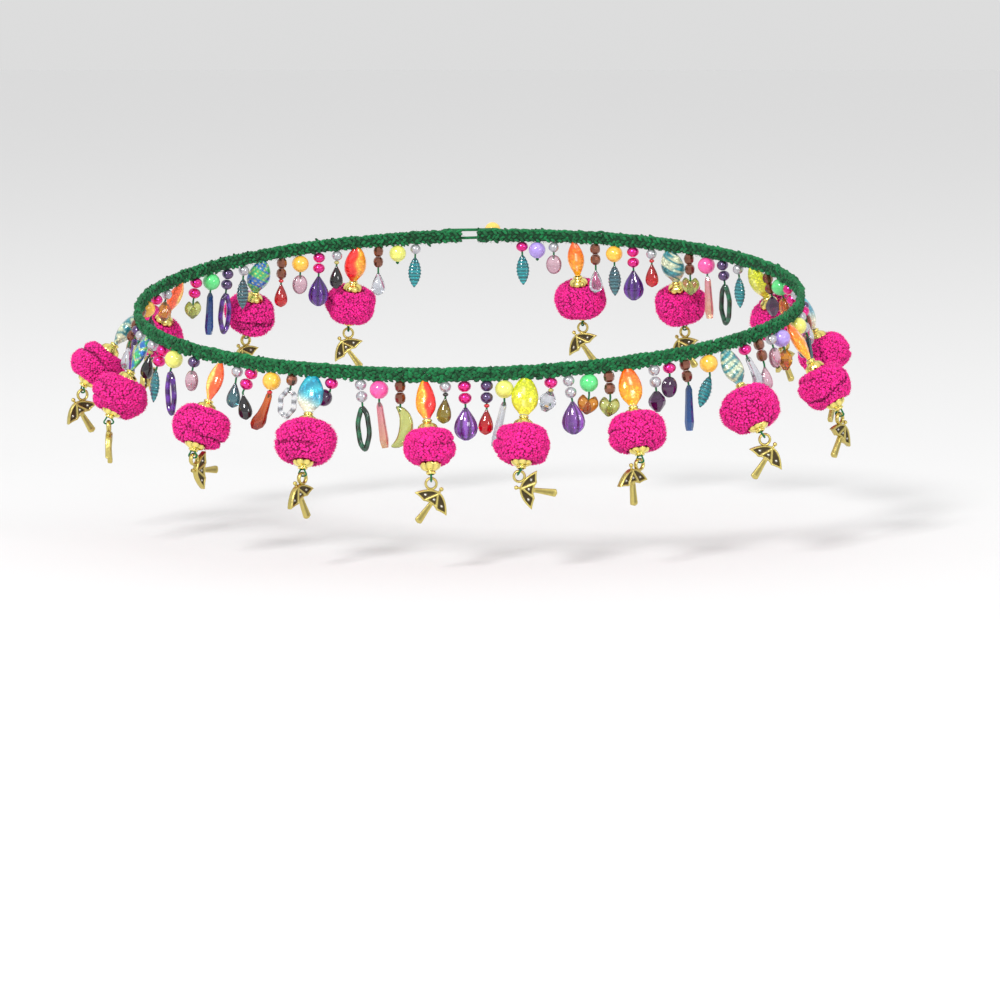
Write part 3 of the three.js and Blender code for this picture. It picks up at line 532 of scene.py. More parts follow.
def crochet_band():
    rng = np.random.default_rng(3)
    band = Piece("crochet_band", ["wool"])
    length = 2 * HALF_GIRTH - END_GAP
    pitch = length / STITCHES
    start = -HALF_GIRTH + END_GAP / 2
    # the body of the band, which the stitches cover, painted dark as the shade between the stitches
    arcs = start + length * np.linspace(0.001, 0.999, 400)[:, None]
    turn = circle(12)
    out, up = CORE_WIDTH * np.cos(turn), BAND_MIDDLE + CORE_HEIGHT * np.sin(turn)
    band.grid(wall_point(arcs + 0 * turn, out + 0 * arcs, up + 0 * arcs), "wool", GREEN * 0.3)
    # rows of stitches, each a slanting loop of yarn
    s = np.linspace(0, 1, 6)
    radius = STITCH_RADIUS * np.sin(np.pi * np.clip(s, 0.07, 0.93)) ** 0.45
    bow = np.sin(np.pi * s)
    middles = start + pitch * (np.arange(STITCHES) + 0.5)[:, None]
    for face, rows in ((1, OUTER_ROWS), (-1, INNER_ROWS)):
        for row, (height, rise, slant) in enumerate(rows):
            jitter = rng.normal(0, 1, (STITCHES, 4)) * STITCH_SPREAD
            a = middles + pitch * 0.5 * (row % 2) + jitter[:, :1] + pitch * 0.72 * (s - 0.5)
            u = height + jitter[:, 1:2] + slant * (rise * (1 + jitter[:, 3:])) * (s - 0.5)
            o = face * (0.55 + 0.5 * bow + jitter[:, 2:3])
            a = np.clip(a, start + BAND_END, start + length - BAND_END)
            tones = GREEN * rng.uniform(0.5, 1.45, (STITCHES, 1))
            radii = radius * rng.uniform(0.8, 1.12, (STITCHES, 1))
            band.tubes(wall_point(a, o, u), radii, STITCH_SIDES, "wool", tones, belt_frame(a)[3])
    # the chain that lies over the upper edge
    a = middles + pitch * (s - 0.5) * 1.5 + rng.normal(0, 0.2, (STITCHES, 1))
    a = np.clip(a, start + BAND_END, start + length - BAND_END)
    o = 0.8 * np.cos(np.pi * s) + rng.normal(0, 0.12, (STITCHES, 1))
    u = 2.2 + 0.35 * bow + rng.normal(0, 0.2, (STITCHES, 1))
    tones = GREEN * rng.uniform(0.7, 1.4, (STITCHES, 1))
    band.tubes(wall_point(a, o, u), radius * 0.9, STITCH_SIDES, "wool", tones, belt_frame(a)[2])
    # stray fibres
    n = BAND_FIBRES
    arc = rng.uniform(start, start + length, n)
    turn = rng.uniform(0, TAU, n)
    o, u = 1.6 * np.cos(turn), BAND_MIDDLE + 3.3 * np.sin(turn)
    roots = wall_point(arc, o, u)
    reach = rng.gamma(2.0, 0.22, n) + 0.15
    tips = wall_point(arc + rng.normal(0, 0.8, n), o + reach * np.cos(turn), u + reach * np.sin(turn))
    widths = rng.uniform(0.04, 0.09, n)
    band.blades(roots, tips, widths, "wool", GREEN * rng.uniform(0.7, 1.7, (n, 1)), rng)
    band.build("belt", "crochet", "band")


# ---- beads ----
def revolve(piece, line, at, halves, depths, sides, material, tint, smooth=True, ribs=0, rib=0.0, bend=0.0):
    """A bead turned about a hanging line; ribs stand out round it, and bend carries its foot sideways."""
    at, halves, depths = (np.asarray(v, float)[:, None] for v in (at, halves, depths))
    turn = (np.arange(sides) + 0.5) / sides * TAU
    swell = 1 + rib * np.cos(ribs * turn) if ribs else 1 + 0 * turn
    share = (at - at[0]) / (at[-1] - at[0])
    across = halves * swell * np.cos(turn) + bend * share ** 2
    points = line.point(at + 0 * turn, across, depths * swell * np.sin(turn))
    piece.grid(points, material, tint, smooth=smooth)


def ring(piece, line, middle, half_width, half_height, half_tube, half_depth, material, tint, twist, point):
    """A closed ring that hangs on the line; point is how pointed it is at its top and foot."""
    turn = circle(36)
    x = half_width * np.sign(np.sin(turn)) * np.abs(np.sin(turn)) ** (1 + point)
    z = half_height * np.cos(turn)
    tangent = unit(np.stack([np.gradient(x), np.gradient(z)], -1))
    around = circle(10)
    flat = 1 + twist * np.sin(6 * turn)[:, None] * np.cos(around)
    a = x[:, None] + tangent[:, 1:] * half_tube * np.cos(around) * flat
    d = z[:, None] - tangent[:, :1] * half_tube * np.cos(around) * flat
    o = half_depth * np.sin(around) * flat
    points = line.point(middle - d, a, o + 0 * a)
    points = np.concatenate([points, points[:1]])
    piece.grid(points, material, tint, closed=False)


def between(top, foot, stripes=0, ribs=0):
    """A tint that runs from the colour at the top to the one at the foot, with stripes, and with ribs of
    painted highlight and shade.
    """
    top, foot = linear(top), linear(foot)

    def tint(t, turn):
        c = top + (foot - top) * t[..., None] ** 1.2
        if stripes:
            c = c * (1 + 0.5 * np.sign(np.sin(TAU * stripes * t)))[..., None]
        if ribs:
            # painted light and shade: highlights along each rib and dark shade between them
            c = c * (0.85 + 0.75 * np.cos(ribs * TAU * turn))[..., None].clip(0.25)
        return c
    return tint


# Drops turned about their thread: sides, and what else revolve takes
TURNED = {
    "tear": (18, {}), "ball": (22, {}), "boot": (18, {"bend": -3.2}),
    "ribbed": (40, {"ribs": 8, "rib": 0.07}), "leaf": (16, {"ribs": 2, "rib": 0.06}),
    "baton": (6, {"smooth": False}), "facet": (8, {"smooth": False}),
}
# Steps, and half widths at places along the drop, as shares
TURNED_LINES = {
    "ribbed": (17, [0, 0.05, 0.15, 0.3, 0.45, 0.62, 0.78, 0.9, 0.97, 1],
               [0.14, 0.22, 0.42, 0.7, 0.9, 1, 0.92, 0.68, 0.4, 0.2]),
    "boot": (19, [0, 0.06, 0.3, 0.55, 0.75, 0.9, 1], [0.3, 0.42, 0.5, 0.66, 0.95, 0.86, 0.4]),
    "baton": (12, [0, 0.08, 0.5, 0.85, 1], [0.35, 0.7, 0.85, 1, 0.7]),
}
FACETS = ([0, 0.08, 0.32, 0.5, 0.68, 0.9, 1], [0.25, 0.45, 0.9, 1, 0.9, 0.5, 0.3])
TEAR_FULL = 0.72  # where along it a tear is widest
STRIPES = 9
MOON_SWEEP, MOON_TUBE = 0.42, 3.6  # of half a turn, and half its width


def petal_profile(t, end):
    return np.maximum(np.sin(np.pi * np.clip(t, end, 1 - end)) ** 0.7, 0.1)


def turned_profile(form):
    """A turned drop's places along its length and its half widths there, as shares."""
    t = np.linspace(0, 1, 13)
    if form == "tear":
        rise = np.sin(np.pi / 2 * np.clip(t / TEAR_FULL, 0, 1)) ** 1.25
        fall = np.sqrt(np.clip(1 - ((t - TEAR_FULL) / (1 - TEAR_FULL)) ** 2, 0, 1))
        return t, np.maximum(np.where(t < TEAR_FULL, rise, fall), 0.12)
    if form == "leaf":
        t = np.linspace(0, 1, 41)
        return t, petal_profile(t, 0.01) * (1 + 0.07 * np.cos(TAU * STRIPES * t))
    if form == "ball":
        return t, round_profile(t, 0.03)
    if form == "facet":
        return np.array(FACETS[0]), np.array(FACETS[1])
    steps, *table = TURNED_LINES[form]
    t = np.linspace(0, 1, steps)
    return t, np.interp(t, *table)


def add_drop(piece, line, form, look):
    length, width, depth = DROPS[form]
    shader, top, foot = DROP_LOOKS[look]
    w, d = width / 2, depth / 2
    striped = form in ("leaf", "hoop", "loop")
    # ribbed drops get painted highlights along their eight ribs and painted shade between them
    tint = between(top, foot, STRIPES if striped else 0, 8 if form == "ribbed" else 0)
    t = np.linspace(0, 1, 13)
    around = circle(16)
    if form in TURNED:
        t, r = turned_profile(form)
        sides, settings = TURNED[form]
        revolve(piece, line, t * length, r * w, r * d, sides, shader, tint, **settings)
    elif form in ("hoop", "loop"):
        twist, point = (0.25, 0.0) if form == "loop" else (0.1, 0.3)
        ring(piece, line, length / 2, w - 1.2, length / 2 - 1.2, 1.35, 1.4, shader, tint, twist, point)
    elif form == "oval":
        r = round_profile(t, 0.02)
        revolve(piece, line, t * length, r * w, r ** 0.6 * d * (0.75 + 0.25 * r), 22, shader, tint)
        ring(piece, line, length / 2, w - 0.5, length / 2 - 0.5, 0.6, 1.0, shader, tint, 0, 0)
    elif form == "moon":
        turn = np.linspace(-MOON_SWEEP, MOON_SWEEP, 15)[:, None] * math.pi
        x = width * 0.6 * (np.cos(turn) - 0.5)
        z = length / 2 * np.sin(turn) / math.sin(MOON_SWEEP * math.pi)
        size = np.maximum(np.cos(turn * 1.15) ** 0.7, 0.12)
        groove = 1 - 0.22 * np.exp(-((np.abs(np.cos(around)) - 0.55) / 0.14) ** 2)
        tube = MOON_TUBE * size * np.cos(around)
        a = x + tube * np.cos(turn)
        down = length / 2 + z + tube * np.sin(turn)
        piece.grid(line.point(down, a, d * size * np.sin(around) * groove + 0 * a), shader, tint)
    elif form == "pebble":
        for sign in (1, -1):
            r = petal_profile(t, 0.02)[:, None]
            x = sign * w * 0.5 * (1 - t[:, None]) ** 0.8
            a = x + w * 0.56 * r * np.cos(around)
            piece.grid(line.point(t[:, None] * length + 0 * a, a, d * r * np.sin(around)), shader, tint)


def add_round_bead(piece, line, at, height, look):
    shader, colour, half, cut = SMALL_BEADS[look]
    t = np.array([0, 0.2, 0.5, 0.8, 1]) if cut else np.linspace(0.03, 0.97, 13)
    r = np.array([0.5, 0.88, 1, 0.88, 0.5]) if cut else round_profile(t)
    sides = 9 if cut else 22
    revolve(piece, line, at + t * height, r * half, r * half, sides, shader, linear(colour), not cut)


MAIN_PROFILE = {
    "slim": ([0, 0.05, 0.15, 0.3, 0.5, 0.66, 0.8, 0.9, 0.96, 1],
             [0.2, 0.34, 0.55, 0.78, 0.96, 1, 0.86, 0.58, 0.42, 0.36]),
    "leaf": ([0, 0.05, 0.15, 0.3, 0.45, 0.6, 0.75, 0.88, 1],
             [0.2, 0.32, 0.58, 0.86, 1, 0.98, 0.8, 0.52, 0.28]),
    "full": ([0, 0.04, 0.15, 0.3, 0.45, 0.58, 0.72, 0.84, 0.93, 1],
             [0.2, 0.36, 0.62, 0.84, 0.97, 1, 0.93, 0.74, 0.48, 0.34]),
}


def main_bead_tint(look):
    pattern, *colours = TOP_LOOKS[look]
    one, other, marks = (linear(c) for c in colours)

    def tint(t, turn):
        across, through = np.cos(TAU * turn), np.sin(TAU * turn)
        mark = 0 * t
        if pattern == "halves":
            k = 0.5 + 0.5 * np.tanh(5 * (across + 0.16 * np.sin(11 * t)))
            mark = 0.7 * np.exp(-((across + 0.12 + 0.16 * np.sin(11 * t)) / 0.16) ** 2)
        elif pattern == "marble":
            wave = np.sin(13 * t + 3.2 * across + 2.1 * through + 1.6 * np.sin(23 * t + 3 * across))
            k = 0.5 + 0.5 * np.tanh(2.4 * wave)
            mark = np.exp(-(np.sin(11 * t - 4 * across + 3 * through) / 0.22) ** 2) * 0.8
        elif pattern == "rim":
            k = 0.5 + 0.5 * np.sin(14 * t + 3 * across)
            mark = 0.5 + 0.5 * np.tanh(9 * (t - 0.74 - 0.16 * across))
        else:
            k = t ** 1.3
            mark = 0.8 * np.exp(-((across + 0.3 - 0.3 * t) / 0.1) ** 2) * (np.sin(19 * t) > -0.2)
        colour = one + (other - one) * k[..., None]
        return colour + (marks - colour) * mark[..., None]
    return tint


def add_main_bead(piece, pendant, line):
    length, width, depth = MAIN_BEADS[pendant.bead]
    t = np.linspace(0, 1, 29)
    profile = "leaf" if pendant.bead == "long" else pendant.bead
    r = np.interp(t, *MAIN_PROFILE.get(profile, MAIN_PROFILE["full"]))
    r[1:-1] = np.convolve(r, [0.25, 0.5, 0.25], "valid")
    at = MAIN_BEAD_START - TUCK + t * (length + TUCK)
    revolve(piece, line, at, r * width / 2, r * depth / 2, 34, "glitter", main_bead_tint(pendant.look))


def thread(piece, points, radius=0.5):
    piece.tubes(points[None], radius, 6, "wool", GREEN[None], unit([0.31, 0.55, 0.21]))


SEED_STEPS = np.array([0, 0.3, 0.9, 1.5, 1.8])
SEED_HALVES = np.array([0.7, 1.25, 1.5, 1.25, 0.7])
BEAD_SHADERS = ["pearl", "metallic", "polish", "glass", "tinted", "crystal", "glitter"]


def bead_fringe(index, pendant, strings):
    beads = Piece(f"beads_{index + 1:02d}", BEAD_SHADERS)
    threads = Piece(f"bead_threads_{index + 1:02d}", ["wool"])
    line = pendant_line(pendant)
    add_main_bead(beads, pendant, line)
    top = line.point(np.linspace(-1.2, MAIN_BEAD_START + 1, 5))
    thread(threads, top, 0.75)
    for arc, count, drop, sway, turn, look, drop_look, *seed in strings:
        outward = outward_at(arc)
        reach = BEAD_REACH[count]
        bead_line = Line(edge_point(arc), outward, lean_at(BEADS_LEAN, outward), sway)
        for at, height in BEAD_PLACES[count]:
            add_round_bead(beads, bead_line, at, height, look)
        thread(threads, bead_line.point(np.linspace(-1.0, 1.2, 5)), 0.7)
        if drop == "none":
            thread(threads, bead_line.point(np.linspace(reach - 0.7, reach + 1.2, 4)), [0.5, 0.9, 0.9, 0.3])
            continue
        drop_line = Line(bead_line.point(reach + DROP_THREAD), outward, lean_at(DROP_LEAN, outward), turn)
        upper = bead_line.point(np.linspace(reach - 1.0, reach + DROP_THREAD, 4))
        thread(threads, np.concatenate([upper, drop_line.point(np.linspace(0.6, 2.2, 3))]))
        for kind in seed:
            at, colour = reach + 0.1 + SEED_STEPS, linear(SEEDS[kind])
            revolve(beads, bead_line, at, SEED_HALVES, SEED_HALVES, 12, "polish", colour)
        add_drop(beads, drop_line, drop, drop_look)
    node = f"bead_fringe_{index + 1:02d}"
    beads.build("belt", "bead", node)
    threads.build("belt", "crochet", node)


def pendant_line(pendant):
    return Line(edge_point(pendant.arc), outward_at(pendant.arc), pendant.lean, pendant.sway)


# ---- pompoms ----
CAP_PETALS = 8
CAP_OVERLAP, CAP_WALL = 2.0, 0.4  # how far a cap's petals reach over the yarn, and their thickness
CAP_PROFILE = ([0, 0.09, 0.18, 0.26, 0.36, 0.5, 0.7, 0.86, 0.95, 1],
               [1.6, 2.5, 2.5, 1.9, 3.4, 4.6, 5.2, 5.4, 5.5, 5.2])


def flower_cap(piece, line, at, height, down):
    """A bead cap with petals round the pompom's end, with painted light and shade on its gold; down is 1
    where it opens downward.
    """
    turn = circle(48)
    petal = np.abs(np.cos(CAP_PETALS / 2 * turn)) ** 0.6
    v = np.linspace(0, 1, 13)[:, None]
    tall = height + CAP_OVERLAP
    radius = np.interp(v, *CAP_PROFILE)
    open_part = np.clip((v - 0.28) / 0.72, 0, 1)
    radius = radius * (1 - 0.1 * (1 - petal) * open_part)
    drop = tall * (v - 0.2 * (1 - petal) * open_part ** 3)
    rows, shades = [], []
    for skin in (0.0, CAP_WALL):
        z = (drop + skin * (1 - v)) * down
        rows.append(line.point(at + z, (radius - skin) * np.cos(turn), (radius - skin) * np.sin(turn)))
        # painted light and shade: the gold is darker between the petals and brighter on them and towards the
        # closed part
        shades.append(0.5 + 0.55 * petal * np.ones_like(v) + 0.3 * (1 - open_part))
    points = np.concatenate([rows[0], rows[1][::-2]])
    # painted shade: the cap's inner skin is darkened to 0.4
    shade = np.concatenate([shades[0], 0.4 * shades[1][::-2]])
    piece.grid(points, "gold", (GOLD * shade[..., None]).reshape(-1, 3), closed=False)


TUFTS, TUFT_SIDES, FUZZ = 1300, 5, 3400  # to a pompom
GOLDEN_ANGLE = 2.399963
YARN_ROOT = 0.93  # how far out the yarn's dense inside reaches, as a share
CLEFT_DEPTHS = (0.16, 0.11)


def pompom(index, pendant):
    rng = np.random.default_rng(100 + index)
    line = pendant_line(pendant)
    radius, height = pendant.radius, pendant.height
    cap_start = MAIN_BEAD_START + MAIN_BEADS[pendant.bead][0] + SEAM_GAP
    pom_top = cap_start + pendant.top_cap
    foot = pom_top + height + pendant.foot_cap
    middle = pom_top + height * 0.5
    yarn = Piece(f"pompom_yarn_{index + 1:02d}", ["yarn"])
    phases = rng.uniform(0, TAU, 9)
    waves = rng.normal(0, 3.0, (9, 3))
    clefts = []
    for depth in CLEFT_DEPTHS[:1 + pendant.split]:
        plane = unit([rng.normal(0, 0.35), rng.normal(0, 0.35), 1.0])
        level, phase = rng.uniform(-0.3, 0.3), rng.uniform(0, TAU)
        clefts.append((plane, level, depth, phase, unit(rng.normal(size=3) * (1, 1, 0.2))))

    def lump(u):
        """How far the yarn stands out, as a share, in the direction u."""
        value = sum(np.sin(u @ w + p) for w, p in zip(waves, phases)) * 0.016
        for plane, level, depth, phase, side in clefts:
            off = u @ plane - level - 0.07 * np.sin(4 * np.arctan2(u[..., 1], u[..., 0]) + phase)
            reach = np.clip(0.55 + 0.8 * (u @ side), 0, 1)
            value = value - depth * reach * np.exp(-(off / 0.09) ** 2)
        return 1 + value

    def surface(u, share):
        """The pompom's surface in the directions u of a unit ball, scaled by share."""
        level = np.sqrt(np.clip(1 - u[..., 2] ** 2, 1e-9, 1))
        round_out = level ** 0.68
        k = lump(u) * share
        around = u[..., :2] / level[..., None] * (radius * round_out * k)[..., None]
        x, y = around[..., 0], around[..., 1]
        pressed = 1 - 0.25 * np.exp(-(np.hypot(x, y) / 6.6) ** 4)
        return line.point(middle - u[..., 2] * (height / 2 + 0.1) * k * pressed, x, y)

    # the yarn's dense inside, painted dark as the shade beneath the tufts
    turn = circle(36)
    tilt = np.linspace(0.03, math.pi - 0.03, 24)[:, None]
    u = np.stack([np.sin(tilt) * np.cos(turn), np.sin(tilt) * np.sin(turn), np.cos(tilt) + 0 * turn], -1)
    yarn.grid(surface(u, YARN_ROOT), "yarn", PINK * 0.3)
    # tufts of cut yarn ends
    n = TUFTS
    k = np.arange(n) + 0.5
    z = 1 - 2 * k / n
    a = k * GOLDEN_ANGLE
    t = np.stack([np.sqrt(1 - z ** 2) * np.cos(a), np.sqrt(1 - z ** 2) * np.sin(a), z], -1)
    t = unit(t + rng.normal(0, 0.022, (n, 3)))
    roots = surface(t, YARN_ROOT)
    normals = unit(surface(t, 1.05) - roots + rng.normal(0, 0.22, (n, 3)) * 1.2)
    # painted shade: tufts in the clefts are darkened to 0.55, and only tufts outside the clefts get the
    # random paler tone
    deep = np.clip((lump(t) - 0.86) / 0.1, 0.0, 1)[:, None]
    tint = PINK * (rng.uniform(0.66, 1.1, (n, 1)) * (0.55 + 0.45 * deep))
    tint = tint + PINK * (0, 1.2, 0.25) * rng.uniform(0, 0.6, (n, 1)) * deep
    rise = rng.uniform(0.8, 1.5, n) * np.where(np.hypot(t[:, 0], t[:, 1]) < 0.3, 0.6, 1)
    yarn.tufts(roots, normals, rng.uniform(0.7, 1.08, n), rise, TUFT_SIDES, "yarn", tint, rng)
    # the fuzz between and beyond them
    n = FUZZ
    u = unit(rng.normal(size=(n, 3)))
    roots = surface(u, 0.95)
    tips = surface(unit(u + rng.normal(0, 0.06, (n, 3))), rng.normal(1.035, 0.014, n))
    # painted shade: fuzz in the clefts is darkened to 0.55
    deep = np.clip((lump(u) - 0.86) / 0.1, 0, 1)[:, None]
    tint = PINK * rng.uniform(0.7, 1.15, (n, 1)) * (0.55 + 0.45 * deep)
    yarn.blades(roots, tips, rng.uniform(0.06, 0.13, n), "yarn", tint, rng)
    node = f"pompom_{index + 1:02d}"
    yarn.build("belt", "pompom", node)

    caps = Piece(f"bead_caps_{index + 1:02d}", ["gold", "wool"])
    flower_cap(caps, line, cap_start, pendant.top_cap, 1)
    flower_cap(caps, line, foot, pendant.foot_cap, -1)
    # the thread eye that the charm's ring hangs in
    hole, down = hole_axis(pendant), eye_down(pendant)
    s = np.linspace(0, math.pi, 13)
    end = line.point(foot)
    fall = EYE_DEPTH - 1.2 + 1.2 * np.sin(s)
    loop = end + hole * (np.cos(s) * EYE_HALF_WIDTH)[:, None] + down * fall[:, None]
    path = np.concatenate([[end + hole * 0.6 - down * 0.8], loop, [end - hole * 0.6 - down * 0.8]])
    caps.tubes(path[None], THREAD_RADIUS, 6, "wool", GREEN[None], np.cross(hole, down))
    caps.build("belt", "brass", node)


# ---- umbrella charms ----
def hole_axis(pendant):
    """The way the charm's plate faces, and the axis it swings about."""
    turn = math.radians(pendant.facing)
    return np.array([math.sin(turn), -math.cos(turn), 0])


def eye_down(pendant):
    """The way the thread eye hangs from the bottom cap."""
    lean = math.radians(pendant.eye_lean)
    down = np.array([0, 0, -1.0])
    return down * math.cos(lean) + np.cross(hole_axis(pendant), down) * math.sin(lean)


CANOPY_HALF, CANOPY_CORNER, CANOPY_RISE, DOME_HALF = 9.65, -8.0, 7.4, 9.9
RIB_FOOT, SCALLOP_TOP = (4.0, -8.7), -7.5
RIB_TOP = (0, -1.8)
FACE, RECESS = 1.5, 0.7  # half the charm's thickness at its rims, and within its panels
SHAFT_TOP, SHAFT_LENGTH = -6.9, 12.4
PANEL_DOTS = ((-4.9, -5.6), (0, -5.1), (5.1, -5.6))


def step(low, high, value):
    """0 up to low, 1 from high on, and a smooth rise between."""
    k = np.clip((value - low) / (high - low), 0, 1)
    return k * k * (3 - 2 * k)


def canopy_edges(x):
    """The canopy's dome and its scalloped lower edge, over x."""
    across = np.abs(x)
    dome = CANOPY_CORNER + CANOPY_RISE * (1 - (across / DOME_HALF) ** 2)
    side = np.clip((across - RIB_FOOT[0]) / (DOME_HALF - RIB_FOOT[0]), 0, 1)
    outer = RIB_FOOT[1] + (CANOPY_CORNER - RIB_FOOT[1]) * side + 1.2 * side * (1 - side)
    inner = SCALLOP_TOP + (RIB_FOOT[1] - SCALLOP_TOP) * (across / RIB_FOOT[0]) ** 2
    return dome, np.where(across > RIB_FOOT[0], outer, inner)


def segment_distance(x, y, start, end):
    """How far the points lie from the line between start and end."""
    (ax, ay), (bx, by) = start, end
    dx, dy = bx - ax, by - ay
    t = np.clip(((x - ax) * dx + (y - ay) * dy) / (dx ** 2 + dy ** 2), 0, 1)
    return np.hypot(x - ax - t * dx, y - ay - t * dy)


def charm_shells():
    """The umbrella upright, as grids of points with their colours; its tip's foot is the origin."""
    shells = []
    # canopy: rims, ribs and dots stand out of its recessed panels, on both faces
    x = CANOPY_HALF * np.linspace(-1, 1, 53)[:, None]
    v = np.linspace(0, 1, 23)[None]
    dome, foot = canopy_edges(x)
    y = dome + (foot - dome) * v
    x = x + 0 * v
    slope = np.hypot(1, 2 * CANOPY_RISE * x / DOME_HALF ** 2)
    edge = np.minimum(np.minimum((dome - y) / slope, y - foot), CANOPY_HALF - np.abs(x))
    ribs = np.min([segment_distance(side, y, RIB_TOP, RIB_FOOT) for side in (x, -x)], 0)
    raised = np.maximum(1 - step(0.75, 1.1, edge), 1 - step(0.36, 0.68, ribs))
    knob = np.hypot(np.abs(x) - RIB_FOOT[0], y - RIB_FOOT[1])
    raised = np.maximum(raised, 1 - step(1.0, 1.4, knob))
    dots = np.max([1 - step(0.35, 0.75, np.hypot(x - a, y - b)) for a, b in PANEL_DOTS], 0)
    z = RECESS + (FACE - RECESS) * np.maximum(raised, 0.8 * dots) - 0.4 * (1 - step(0, 0.3, edge))
    colour = TARNISH + (BRASS - TARNISH) * raised[..., None]
    colour = colour + (SILVER - colour) * dots[..., None]
    face, back = np.stack([x, y, z], -1), np.stack([x, y, -z], -1)
    near, far = (np.stack([x, y, z * k], -1) for k in (0.6, -0.6))
    plain = BRASS + 0 * x[:, :1, None]
    strips = [far[:, :1], near[:, :1], face, near[:, -1:], far[:, -1:], back[:, ::-1]]
    colours = [plain, plain, colour, plain, plain, colour[:, ::-1]]
    shells.append((np.concatenate(strips, 1), np.concatenate(colours, 1)))
    # shaft: flat, widening to its rounded end, with a groove down each face
    around = circle(20)
    t = np.linspace(0, 1, 24)[:, None]
    end = np.sqrt(np.clip(1 - ((t - 0.9) / 0.1).clip(0, 1) ** 2, 0.03, 1))
    half = (1.15 + 0.95 * t ** 1.3) * end
    across = half * np.sign(np.cos(around)) * np.abs(np.cos(around)) ** 0.6
    groove = (1 - step(0.3, 0.62, np.abs(across / half))) * step(0.08, 0.14, t) * (1 - step(0.84, 0.9, t))
    through = np.sign(np.sin(around)) * np.abs(np.sin(around)) ** 0.5
    through = through * (1.35 - 0.4 * groove) * (0.6 + 0.4 * end)
    colour = BRASS + (TARNISH - BRASS) * 0.55 * groove[..., None]
    shells.append((np.stack([across, SHAFT_TOP - SHAFT_LENGTH * t + 0 * around, through], -1), colour))
    # ball tip
    around = circle(16)
    t = np.linspace(0.05, 0.97, 10)
    r = np.concatenate([[0.8, 0.6], 1.1 * round_profile(t)])[:, None]
    y = np.concatenate([[-1.1, -0.2], 0.1 + 2.2 * t])[:, None]
    tip = np.stack([r * np.cos(around), y + 0 * around, r * np.sin(around)], -1)
    shells.append((tip, BRASS + 0 * tip))
    # ring
    turn = (np.arange(37) / 36 * TAU)[:, None]
    middle, tube = (RING_OUTER + RING_INNER) / 2, (RING_OUTER - RING_INNER) / 2
    around = circle(12)
    r = middle + tube * np.cos(around)
    x, y = RING_ACROSS + r * np.cos(turn), RING_UP + r * np.sin(turn)
    loop = np.stack([x, y, 1.15 * np.sin(around) + 0 * turn], -1)
    shells.append((loop, BRASS + 0 * loop))
    return shells


def charm(index, pendant):
    piece = Piece(f"umbrella_{index + 1:02d}", ["brass"])
    toward = hole_axis(pendant)
    up = np.array([0, 0, 1.0])
    right = unit(np.cross(up, toward))
    swing = math.radians(pendant.swing)
    turn = -math.radians(HANGING_TURN + pendant.swing)
    cap_start = MAIN_BEAD_START + MAIN_BEADS[pendant.bead][0] + SEAM_GAP
    cap_end = cap_start + pendant.top_cap + pendant.height + pendant.foot_cap
    pivot = pendant_line(pendant).point(cap_end) + eye_down(pendant) * EYE_DEPTH
    hang = 2 * math.cos(math.pi / 8) - THREAD_RADIUS - SEAM_GAP
    ring_middle = pivot - up * hang * math.cos(swing) - right * hang * math.sin(swing)
    c, s = math.cos(turn), math.sin(turn)
    for part, (grid, colours) in enumerate(CHARM_SHELLS):
        x, y = grid[..., 0] - RING_ACROSS, grid[..., 1] - RING_UP
        x, y = c * x - s * y, s * x + c * y
        points = ring_middle + right * x[..., None] + up * y[..., None] + toward * grid[..., 2:]
        is_ring = part == len(CHARM_SHELLS) - 1
        piece.grid(points, "brass", colours, closed=not is_ring)
    piece.build(f"charm_{index + 1:02d}", "brass", f"umbrella_charm_{index + 1:02d}")


# ---- closure ----
LOOP_LENGTH, LOOP_HALF_HEIGHT, CORD_HALF = 34, 2.3, 0.9
PLY_RADIUS, PLY_OFFSET, PLY_TWIST = 0.55, 0.45, 22
BUTTON_FROM_END, BUTTON_HALF, BUTTON_SHANK = 2.6 * 1.8, 4.6, 2.4


def closure():
    loop = Piece("closure_cord", ["wool"])
    turn = np.arange(81) / 80 * TAU
    half = LOOP_HALF_HEIGHT
    straight = LOOP_LENGTH / 2 - CORD_HALF - half
    s = np.sign(np.cos(turn)) * straight + half * np.cos(turn)
    out = BAND_THICKNESS / 2 + 2 * SEAM_GAP + CORD_HALF
    for phase in (0, TAU / 3, 2 * TAU / 3):
        twist = turn * PLY_TWIST + phase
        wide, deep = PLY_OFFSET * np.cos(twist), PLY_OFFSET * np.sin(twist)
        up = half * np.sin(turn) + wide * np.sin(turn)
        path = wall_point(HALF_GIRTH - s - wide * np.cos(turn), out + deep, up)
        outs = belt_frame(HALF_GIRTH - s)[3]
        loop.tubes(path[None], PLY_RADIUS, 6, "wool", GREEN[None] * 1.1, outs)
    loop.build("belt", "crochet", "closure_loop")
    button = Piece("closure_bead", ["polish"])
    arc = HALF_GIRTH - (LOOP_LENGTH / 2 - BUTTON_FROM_END)
    _, along, _, out = belt_frame(arc)
    line = Line(wall_point(arc, BAND_THICKNESS / 2 + SEAM_GAP, 0.0), out, 0, 0)
    line.along, line.across, line.through = out, along, np.cross(along, out)
    r = BUTTON_HALF * round_profile(np.linspace(0.03, 0.99, 12), 0.01)
    r = np.concatenate([[0.9, 0.9], r])
    at = np.concatenate([[0, 2.3], BUTTON_SHANK + 9.1 * np.linspace(0.01, 0.99, 12)])
    revolve(button, line, at, r, r, 26, "polish", linear((248, 204, 92)))
    button.build("belt", "bead", "closure_button")


